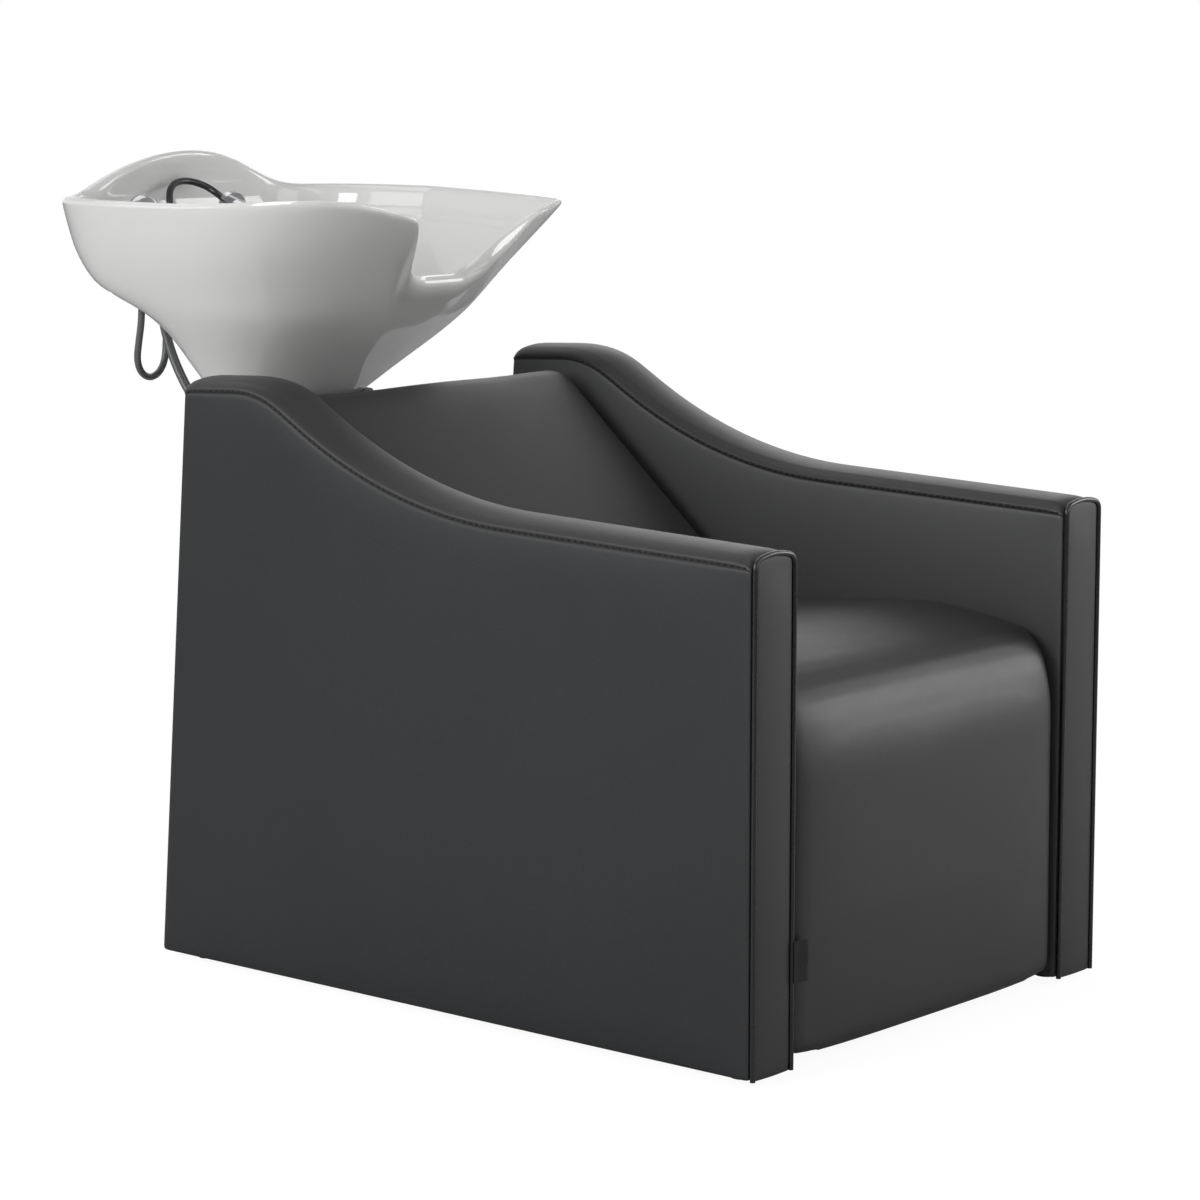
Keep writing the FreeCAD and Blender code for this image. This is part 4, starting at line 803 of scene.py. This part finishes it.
def seat_pad():
    piece = gridded_cube("seat_pad", 60)
    grid = crowded(points_of(piece), 0.3)
    half_run, half_thick = 0.5, 0.05
    local = rounded_box(grid, (SEAT_HALF + 0.003, half_run, half_thick), 0.016)
    run = np.concatenate([[0], np.cumsum(np.linalg.norm(np.diff(SEAT_PROFILE, axis=0), axis=1))])
    share = (local[:, 1] / half_run + 1) / 2 * run[-1]
    depth, height = (np.interp(share, run, SEAT_PROFILE[:, axis]) for axis in (0, 1))
    step = 0.012
    ahead, behind = (
        [np.interp(place, run, SEAT_PROFILE[:, axis]) for axis in (0, 1)]
        for place in (np.clip(share + move, 0, run[-1]) for move in (step, -step))
    )
    along_y, along_z = ahead[0] - behind[0], ahead[1] - behind[1]
    size = np.hypot(along_y, along_z)
    inward_y, inward_z = along_z / size, -along_y / size
    sink = half_thick - local[:, 2]
    edge = (np.abs(local[:, 0]) / SEAT_HALF) ** 2
    sink = sink * 0.42 + 0.006 * edge ** 2
    set_points(piece, np.column_stack([
        local[:, 0], depth + sink * inward_y + DEPTH_SHIFT, height + sink * inward_z,
    ]))
    blow_up(piece, 0.005, 0.004, lambda at: np.clip((at[:, 2] - SEAT_HEM) / 0.15, 0, 1))
    return finish(piece, "chair", SEAT_LEATHER, ["seat_cushion"])


seat_pad()

# %% Back pad
RECLINE = math.radians(40.6)
BACK_FOOT = np.array([0.446, 0.443])
BACK_LENGTH, BACK_THICK = 0.412, 0.092
BACK_ALONG = np.array([math.cos(RECLINE), math.sin(RECLINE)])
BACK_BEHIND = np.array([math.sin(RECLINE), -math.cos(RECLINE)])


def back_pad():
    piece = gridded_cube("back_pad", 60)
    grid = crowded(points_of(piece), 0.3)
    local = rounded_box(grid, (SEAT_HALF, BACK_LENGTH / 2, BACK_THICK / 2), 0.030)
    along = local[:, 1] + BACK_LENGTH / 2
    behind = BACK_THICK / 2 - local[:, 2]
    front = np.clip(local[:, 2] / (BACK_THICK / 2), 0, 1)
    dome = (1 - (local[:, 0] / SEAT_HALF) ** 2) * (1 - ((along / BACK_LENGTH) * 2 - 1) ** 4)
    behind = behind + 0.016 * (1 - dome) * front
    place = BACK_FOOT + along[:, None] * BACK_ALONG + behind[:, None] * BACK_BEHIND
    set_points(piece, np.column_stack([local[:, 0], place[:, 0] + DEPTH_SHIFT, place[:, 1]]))
    blow_up(piece, 0.005, 0.005, lambda at: np.ones(len(at)))
    return finish(piece, "chair", SEAT_LEATHER, ["back_cushion"])


back_pad()

# %% [markdown]
# ## Basin
#
# The basin is cast ceramic: a deep bowl for the head, a flat tap deck behind it, a round notch in
# front for the neck and a raised back rim. Around the drain it is a closed ring, so a torus is the
# right primitive. Its rings become level outlines, from the underside up the outer wall, over the
# rolled rim and down inside, and a subdivision surface makes them one glaze-smooth skin.

# %% Basin outlines by height
CENTRE_DEPTH = 1.010
BASE = 0.660
OUTER_LEVELS = np.array([
    (0.660, 0.120, 0.932, 1.070, 2.2, 2.6), (0.700, 0.151, 0.882, 1.096, 2.3, 2.6),
    (0.745, 0.190, 0.821, 1.122, 2.3, 2.6), (0.772, 0.213, 0.791, 1.150, 2.4, 2.8),
    (0.798, 0.229, 0.766, 1.196, 2.4, 3.7), (0.825, 0.245, 0.742, 1.211, 2.4, 3.9),
    (0.870, 0.266, 0.697, 1.221, 2.4, 4.0),
    (0.914, 0.280, 0.652, 1.225, 2.4, 4.0), (0.985, 0.291, 0.600, 1.196, 2.4, 4.0),
])
INNER_LEVELS = np.array([
    (0.706, 0.066, 0.972, 1.062, 2.2, 2.4), (0.721, 0.118, 0.906, 1.084, 2.3, 2.6),
    (0.755, 0.172, 0.847, 1.097, 2.4, 2.8), (0.808, 0.217, 0.785, 1.104, 2.4, 3.0),
    (0.862, 0.246, 0.727, 1.107, 2.4, 3.0), (0.914, 0.263, 0.674, 1.109, 2.4, 3.0),
    (0.985, 0.274, 0.622, 1.111, 2.4, 3.0),
])


def level_at(levels, height):
    """The outline's measures at one height, on a smooth curve through the levels."""
    heights = levels[:, 0]
    slopes = np.gradient(levels, heights, axis=0)
    index = int(np.clip(np.searchsorted(heights, height) - 1, 0, len(heights) - 2))
    width = heights[index + 1] - heights[index]
    t = np.clip((height - heights[index]) / width, 0, 1)
    return (
        (2 * t ** 3 - 3 * t ** 2 + 1) * levels[index] + (t ** 3 - 2 * t ** 2 + t) * width * slopes[index]
        + (3 * t ** 2 - 2 * t ** 3) * levels[index + 1] + (t ** 3 - t ** 2) * width * slopes[index + 1]
    )


def reach(measures, angles, inset=(0, 0, 0)):
    """How far an outline reaches from the basin's centre, at each angle."""
    _, half_width, front, rear, front_power, rear_power = measures
    side, front_inset, rear_inset = inset
    half_width, front, rear = half_width - side, front + front_inset, rear - rear_inset
    turn = np.linspace(0, 2 * math.pi, 2881)
    cosine, sine = np.cos(turn), np.sin(turn)
    power = np.where(sine > 0, 2 / rear_power, 2 / front_power)
    x = half_width * np.sign(cosine) * np.abs(cosine) ** power
    y = (front + rear) / 2 + (rear - front) / 2 * np.sign(sine) * np.abs(sine) ** power - CENTRE_DEPTH
    return np.interp(angles, np.arctan2(y, x), np.hypot(x, y), period=2 * math.pi)


HEIGHTS = np.linspace(0.660, 0.985, 131)


def reach_table(levels, angles, inset=(0, 0, 0)):
    return np.array([reach(level_at(levels, height), angles, inset) for height in HEIGHTS])


# %% The rim's height around the basin
RIM, WING_RISE = 0.914, 0.009
NOTCH_HALF, NOTCH_BOTTOM, NOTCH_END = 0.093, 0.821, 0.850
TIP_WIDTH, TIP_DROP = 0.135, 0.022
HUMP_TOP, HUMP_FOOT, HUMP_SLOPE = 0.050, 0.138, math.radians(29)
HUMP_APEX = HUMP_FOOT * math.tan(HUMP_SLOPE)
HUMP_CHAIN = rounded_chain(
    [(-0.4, RIM), (-HUMP_FOOT, RIM), (0, RIM + HUMP_APEX), (HUMP_FOOT, RIM), (0.4, RIM)],
    [0.080, (HUMP_APEX - HUMP_TOP) / (1 / math.cos(HUMP_SLOPE) - 1), 0.080],
)


def gentle(value, low, high):
    t = np.clip((value - low) / (high - low), 0, 1)
    return t * t * (3 - 2 * t)


def open_rim_height(x, depth):
    side = RIM + WING_RISE * gentle(-depth, -0.95, -0.70)
    hump = np.interp(x, HUMP_CHAIN[:, 0], HUMP_CHAIN[:, 1]) - RIM
    return side + hump * gentle(depth, 1.085, 1.162)


def notch_height(x, depth):
    """The lowest cut height of the neck notch and of the sloping wing tips beside it."""
    corner = RIM - TIP_DROP
    depth_of_cut = corner - NOTCH_BOTTOM
    sideways = np.clip(np.abs(x) - (NOTCH_HALF - depth_of_cut), 0, depth_of_cut)
    curve = corner - np.sqrt(np.maximum(depth_of_cut ** 2 - sideways ** 2, 0))
    slope = np.clip((NOTCH_HALF + TIP_WIDTH - np.abs(x)) / TIP_WIDTH, 0, 1)
    tip = RIM + WING_RISE - (TIP_DROP + WING_RISE) * slope ** 1.2
    cut = np.where(np.abs(x) < NOTCH_HALF, curve, tip)
    return np.where((np.abs(x) < NOTCH_HALF + TIP_WIDTH) & (depth < NOTCH_END), cut, 9.0)


def blurred(values, angles, degrees):
    """A round average over neighbouring columns."""
    spread = math.radians(degrees)
    gaps = (angles[:, None] - angles[None, :] + math.pi) % (2 * math.pi) - math.pi
    weights = np.exp(-(gaps / spread) ** 2) * np.gradient(np.unwrap(angles))[None, :]
    return weights @ values / weights.sum(axis=1)


def column_angles(count):
    """Angles around the basin, closer together at the two edges of the notch."""
    fine = np.linspace(0, 2 * math.pi, 20001)
    crowd = np.ones_like(fine)
    for edge in (-17, 17):
        crowd += 3.0 * np.exp(-((fine - math.radians(270 + edge)) / math.radians(4.5)) ** 2)
    total = np.concatenate([[0], np.cumsum((crowd[1:] + crowd[:-1]) / 2)])
    return np.interp(np.arange(count) / count * total[-1], total, fine)


COLUMNS = 300
ANGLES = column_angles(COLUMNS)
OUTER = reach_table(OUTER_LEVELS, ANGLES)
BOWL = reach_table(INNER_LEVELS, ANGLES)
TRAY = reach_table(OUTER_LEVELS, ANGLES, (0.022, 0.045, 0.017))


def at_height(table, heights):
    """Reads a table of reaches at one height per column."""
    at = (np.asarray(heights) - HEIGHTS[0]) / (HEIGHTS[1] - HEIGHTS[0])
    low = np.clip(np.floor(at).astype(int), 0, len(HEIGHTS) - 2)
    share = np.clip(at - low, 0, 1)
    column = np.arange(table.shape[1])
    return table[low, column] * (1 - share) + table[low + 1, column] * share


def rim_by_column():
    middle = (OUTER + BOWL) / 2
    x = middle * np.cos(ANGLES)
    depth = CENTRE_DEPTH + middle * np.sin(ANGLES)
    cut = HEIGHTS[:, None] > notch_height(x, depth)
    first_cut = np.where(cut.any(axis=0), HEIGHTS[np.argmax(cut, axis=0)], 9.0)
    height = np.full(COLUMNS, RIM)
    for _ in range(12):
        at = at_height(middle, height)
        height = open_rim_height(at * np.cos(ANGLES), CENTRE_DEPTH + at * np.sin(ANGLES))
    return blurred(np.minimum(height, first_cut), ANGLES, 1.5)


RIM_HEIGHT = rim_by_column()
print("rim from", round(float(RIM_HEIGHT.min()), 3), "to", round(float(RIM_HEIGHT.max()), 3))

# %% [markdown]
# The neck lip is thicker than the rest of the rim and rolls outwards, so that it doesn't cut into
# the neck. The roll fades out beside each wing, which leaves the small hollow seen there.

# %% The basin's rings
DECK, FLOOR, RECESS = 0.876, 0.706, 0.690
DRAIN_DEPTH, DRAIN_RADIUS = 1.020, 0.024
BASIN_Y = CENTRE_DEPTH + DEPTH_SHIFT
OUTER_SHARES = (0.0, 0.012, 0.06, 0.14, 0.22, 0.30, 0.37, 0.43, 0.49, 0.55, 0.61, 0.67, 0.73, 0.79)
OUTER_ROLL = ((0.011, 0.0), (0.006, 0.0010), (0.0022, 0.0038))
OUTER_LIP = ((0.027, 0.0), (0.016, 0.0035), (0.006, 0.0130))
INNER_ROLL = ((0.0022, 0.0038), (0.006, 0.0010), (0.012, 0.0))
UPPER_SHARES = (0.70, 0.42, 0.20)
BOWL_SHARES = (0.972, 0.92, 0.84, 0.74, 0.63, 0.52, 0.41, 0.31, 0.22, 0.145, 0.085, 0.04, 0.012)


def drain_ring(radius, height):
    turn_x = radius * np.cos(ANGLES)
    turn_y = DRAIN_DEPTH + DEPTH_SHIFT + radius * np.sin(ANGLES)
    return np.column_stack([turn_x, turn_y, np.full(COLUMNS, height)])


def ring(reaches, heights):
    heights = np.broadcast_to(heights, (COLUMNS,))
    return np.column_stack([reaches * np.cos(ANGLES), BASIN_Y + reaches * np.sin(ANGLES), heights])


def basin_rings():
    notched = gentle(RIM - RIM_HEIGHT, 0.012, 0.075)

    def outer_at(height):
        flare = 0.017 * notched * np.exp(-((RIM_HEIGHT - height) / 0.034) ** 2)
        return at_height(OUTER, height) + flare

    def inner_at(height):
        bowl = at_height(BOWL, height) - 0.004 * notched
        tray = at_height(TRAY, height)
        return np.where(height > DECK - 0.0001, np.maximum(bowl, tray), bowl)

    rings = [ring(outer_at(np.full_like(RIM_HEIGHT, BASE)) - 0.006, BASE)]
    for share in OUTER_SHARES[1:]:
        height = BASE + share * (RIM_HEIGHT - BASE)
        pull = 0.0025 * math.exp(-share / 0.008)
        rings.append(ring(outer_at(height) - pull, height))
    for plain, lip in zip(OUTER_ROLL, OUTER_LIP):
        drop, inset = (start + (end - start) * notched for start, end in zip(plain, lip))
        height = RIM_HEIGHT - drop
        rings.append(ring(outer_at(height) - inset, height))
    share_inside = 0.5 + 0.2 * notched
    crest = outer_at(RIM_HEIGHT) * (1 - share_inside) + inner_at(RIM_HEIGHT) * share_inside
    rings.append(ring(crest, RIM_HEIGHT))
    for drop, inset in INNER_ROLL:
        height = RIM_HEIGHT - drop
        rings.append(ring(inner_at(height) + inset, height))
    low_rim = np.minimum((RIM_HEIGHT - FLOOR) / (RIM - FLOOR), 1)
    deck = FLOOR + (DECK - FLOOR) * low_rim
    top = RIM_HEIGHT - 0.012
    for share in UPPER_SHARES:
        height = deck + 0.004 + share * np.maximum(top - deck - 0.004, 0.004)
        rings.append(ring(inner_at(height), height))
    bowl = at_height(BOWL, deck) - 0.004 * notched
    wall = np.maximum(at_height(TRAY, np.maximum(deck, DECK)), bowl) * (deck > DECK - 0.001) + bowl * (
        deck <= DECK - 0.001)
    width = wall - bowl
    rings.append(ring(wall - np.minimum(0.0015, width * 0.1), deck + 0.0035))
    rings.append(ring(wall - np.minimum(0.006, width * 0.3), deck + 0.0008))
    rings.append(ring(bowl + width * 0.5, deck - 0.0004))
    rings.append(ring(bowl + np.minimum(0.006, width * 0.3), deck - 0.0014))
    rings.append(ring(bowl + np.minimum(0.0015, width * 0.1), deck - 0.0035))
    for share in BOWL_SHARES:
        height = FLOOR + share * (deck - FLOOR)
        rings.append(ring(at_height(BOWL, height) - 0.004 * notched * share, height))
    rings.append(drain_ring(0.046, FLOOR - 0.0002))
    rings.append(drain_ring(DRAIN_RADIUS + 0.001, FLOOR - 0.0004))
    rings.append(drain_ring(DRAIN_RADIUS, FLOOR - 0.0014))
    rings.append(drain_ring(DRAIN_RADIUS, RECESS))
    base_reach = reach(OUTER_LEVELS[0], ANGLES, (0.022, 0.022, 0.022))
    rings.append(ring(base_reach * 0.97, RECESS))
    rings.append(ring(base_reach, BASE + 0.002))
    rings.append(ring(base_reach + 0.003, BASE))
    return np.array(rings)


# %% Torus to basin
def basin_shell():
    rings = basin_rings()
    start_clean()
    bpy.ops.mesh.primitive_torus_add(major_segments=COLUMNS, minor_segments=len(rings))
    piece = named("basin_shell")
    set_points(piece, rings.transpose(1, 0, 2).reshape(-1, 3))
    outward(piece)
    piece.modifiers.new("Subdivision", "SUBSURF").levels = 1
    piece.modifiers["Subdivision"].render_levels = 1
    apply_all(piece)
    return piece


# %% [markdown]
# Under the tap deck the casting is hollow, and its skirt stops above the foot of the bowl, so that
# the tap's nut and the hoses can be reached. Two simple solids and a boolean cut this away.

# %% The hollow and the skirt's edge
WALL_DEPTH, DECK_UNDER, SKIRT_BOTTOM = 1.122, 0.862, 0.795


def hollow_cutter():
    piece = gridded_cube("hollow_cutter", 24)
    grid = points_of(piece)
    turn = np.linspace(0, math.pi, 361)
    for index, (u, v, w) in enumerate(grid):
        height = 0.640 + (w + 1) / 2 * (DECK_UNDER - 0.640)
        reaches = reach(level_at(OUTER_LEVELS, max(height, BASE)), turn, (0.014, 0.014, 0.014))
        x_line, depth_line = reaches * np.cos(turn), CENTRE_DEPTH + reaches * np.sin(turn)
        behind = depth_line > WALL_DEPTH - 0.004
        limit = max(x_line[behind].max(), 0.02) if behind.any() else 0.02
        x = u * limit
        rear = max(np.interp(-x, -x_line, depth_line), WALL_DEPTH + 0.001)
        depth = WALL_DEPTH + (v + 1) / 2 * (rear - WALL_DEPTH)
        grid[index] = (x, depth + DEPTH_SHIFT, height)
    set_points(piece, grid)
    outward(piece)
    return piece


def skirt_cutter():
    """Everything behind the bowl and below the skirt's edge."""
    start_clean()
    bpy.ops.mesh.primitive_cube_add(size=1)
    piece = named("skirt_cutter")
    low, high = WALL_DEPTH + DEPTH_SHIFT, cad_box[1][1] + 0.08
    size = (0.8, high - low, SKIRT_BOTTOM - 0.600)
    set_points(piece, points_of(piece) * size + (0, (low + high) / 2, (SKIRT_BOTTOM + 0.600) / 2))
    return piece


def cut_away(piece, cutter):
    cut = piece.modifiers.new("Cut", "BOOLEAN")
    cut.operation = "DIFFERENCE"
    cut.solver = "EXACT"
    cut.object = cutter
    apply_all(piece)
    bpy.data.objects.remove(cutter)


basin = basin_shell()
cut_away(basin, hollow_cutter())
cut_away(basin, skirt_cutter())
smooth_faces(basin, 35)
finish(basin, "basin_head", CERAMIC, ["basin"])

# %% [markdown]
# ## Hardware that keeps its solid shape
#
# Turned and folded parts are already exact in the frame. They only need their finish.

# %% Finishes for the frame's own nodes
NODE_FINISH = {
    "left_arm_frame": PLYWOOD, "right_arm_frame": PLYWOOD, "left_arm_piping": PIPING,
    "right_arm_piping": PIPING, "floor_glides": BLACK_PLASTIC, "frame_bolts": STEEL,
    "seat_box": PLYWOOD, "seat_deck": PLYWOOD, "back_board": STAINED_BOARD,
    "rear_panel": STAINED_BOARD, "floor_plate": BLACK_METAL, "column": BLACK_METAL,
    "column_braces": BLACK_METAL, "service_housing": BLACK_METAL, "service_panel": BLACK_METAL,
    "panel_screws": STEEL, "head_bracket": BLACK_METAL, "tilt_cradle": BLACK_METAL,
    "pivot_bolt": STEEL, "tilt_lock_lever": BLACK_PLASTIC, "base_gasket": RUBBER,
    "waste_flange": CHROME, "waste_tail": WHITE_PLASTIC, "waste_nut": WHITE_PLASTIC,
    "hair_strainer": CHROME, "waste_sleeve": WHITE_PLASTIC, "waste_trap": WHITE_PLASTIC,
    "waste_pipe": WHITE_PLASTIC, "pipe_clips": BLACK_PLASTIC, "mixer_body": CHROME,
    "shank_nut": BRASS, "mixer_collar": CHROME, "mixer_lever": CHROME, "hose_block": BRASS,
    "hose_grommet": BLACK_PLASTIC, "hand_shower": CHROME, "spray_face": BLACK_PLASTIC,
    "spray_saddle": BLACK_PLASTIC, "supply_couplers": BRASS,
}
for node, surface in NODE_FINISH.items():
    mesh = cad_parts[node].data
    mesh.materials.clear()
    mesh.materials.append(surface)
print(len(NODE_FINISH), "nodes finished")

# %% [markdown]
# ## Floor and light
#
# A plain pale floor runs past the view on all sides. The main lamp stands to the left, a second one
# to the right of the front, and weaker ones above and behind lift the edges. Rays that go straight
# to the camera see a white room, and so do glossy reflections, which gives the leather its sheen and
# the glaze something to reflect. Matt surfaces get only a little light from the room.

# %% Floor
start_clean()
bpy.ops.mesh.primitive_plane_add(size=60)
floor = named("studio_floor")
floor_paint = bpy.data.materials.new("pale floor")
floor_paint.use_nodes = True
nodes, links = floor_paint.node_tree.nodes, floor_paint.node_tree.links
nodes["Principled BSDF"].inputs["Base Color"].default_value = (0.80, 0.80, 0.80, 1)
nodes["Principled BSDF"].inputs["Roughness"].default_value = 0.8
nodes["Principled BSDF"].inputs["Specular IOR Level"].default_value = 0.1
white = nodes.new("ShaderNodeEmission")
white.inputs["Color"].default_value = (1, 1, 1, 1)
share = nodes.new("ShaderNodeMath")
share.operation = "MULTIPLY"
distance = nodes.new("ShaderNodeVectorMath")
distance.operation = "LENGTH"
links.new(nodes.new("ShaderNodeTexCoord").outputs["Object"], distance.inputs[0])
for socket, near, far in ((white.inputs["Strength"], 1.17, 1.0), (share.inputs[1], 0.80, 1.0)):
    fade = nodes.new("ShaderNodeMapRange")
    fade.inputs["From Min"].default_value, fade.inputs["From Max"].default_value = 1.2, 3.6
    fade.inputs["To Min"].default_value, fade.inputs["To Max"].default_value = near, far
    links.new(distance.outputs["Value"], fade.inputs["Value"])
    links.new(fade.outputs["Result"], socket)
mix = nodes.new("ShaderNodeMixShader")
links.new(nodes.new("ShaderNodeLightPath").outputs["Is Camera Ray"], share.inputs[0])
links.new(share.outputs[0], mix.inputs["Fac"])
links.new(nodes["Principled BSDF"].outputs["BSDF"], mix.inputs[1])
links.new(white.outputs["Emission"], mix.inputs[2])
links.new(mix.outputs["Shader"], nodes["Material Output"].inputs["Surface"])
floor.data.materials.append(floor_paint)

# %% Room light
world = bpy.data.worlds.new("studio")
bpy.context.scene.world = world
world.use_nodes = True
nodes, links = world.node_tree.nodes, world.node_tree.links
background = nodes["Background"]
paths = nodes.new("ShaderNodeLightPath")
direction = nodes.new("ShaderNodeSeparateXYZ")
links.new(nodes.new("ShaderNodeTexCoord").outputs["Generated"], direction.inputs[0])
gloss = nodes.new("ShaderNodeMapRange")
for label, value in (("From Min", -0.1), ("From Max", 0.9), ("To Min", 1.0), ("To Max", 0.5)):
    gloss.inputs[label].default_value = value
links.new(direction.outputs["Z"], gloss.inputs["Value"])
seen = nodes.new("ShaderNodeMath")
seen.operation = "MAXIMUM"
links.new(paths.outputs["Is Camera Ray"], seen.inputs[0])
links.new(paths.outputs["Is Transmission Ray"], seen.inputs[1])
soft = nodes.new("ShaderNodeMix")
soft.data_type = "FLOAT"
links.new(paths.outputs["Is Glossy Ray"], soft.inputs["Factor"])
soft.inputs[2].default_value = 0.10
links.new(gloss.outputs["Result"], soft.inputs[3])
strength = nodes.new("ShaderNodeMix")
strength.data_type = "FLOAT"
links.new(seen.outputs[0], strength.inputs["Factor"])
links.new(soft.outputs[0], strength.inputs[2])
strength.inputs[3].default_value = 1.0
links.new(strength.outputs[0], background.inputs["Strength"])
background.inputs["Color"].default_value = (1, 1, 1, 1)


def softbox(name, place, aim, size, power, colour=(1, 1, 1)):
    bpy.ops.object.light_add(type="AREA", location=place)
    lamp = bpy.context.object
    lamp.name = name
    lamp.data.shape = "RECTANGLE"
    lamp.data.size, lamp.data.size_y = size
    lamp.data.energy = power
    lamp.data.color = colour
    lamp.rotation_euler = (Vector(aim) - Vector(place)).to_track_quat("-Z", "Y").to_euler()
    return lamp


softbox("left_softbox", (-3.2, 0.2, 1.7), (-0.2, 0.2, 0.6), (1.4, 1.6), 52)
softbox("left_rear_softbox", (-2.2, 2.2, 1.9), (-0.2, 0.4, 0.8), (1.4, 1.4), 12)
softbox("right_front_softbox", (2.2, -2.0, 1.2), (0, -0.2, 0.4), (1.4, 1.4), 32)
softbox("front_softbox", (0.3, -3.0, 1.4), (0, 0, 0.4), (1.4, 1.4), 10)
softbox("right_softbox", (2.4, 1.3, 1.75), (0, -0.3, 0.45), (1.5, 1.1), 6)
softbox("overhead_softbox", (-0.28, -0.4, 1.65), (0.2, -0.3, 0.5), (0.35, 1.1), 2)
softbox("rear_top_softbox", (0.1, 1.4, 2.3), (0, 0.3, 0.7), (1.4, 1.2), 6)
bpy.context.scene.view_settings.view_transform = "Standard"
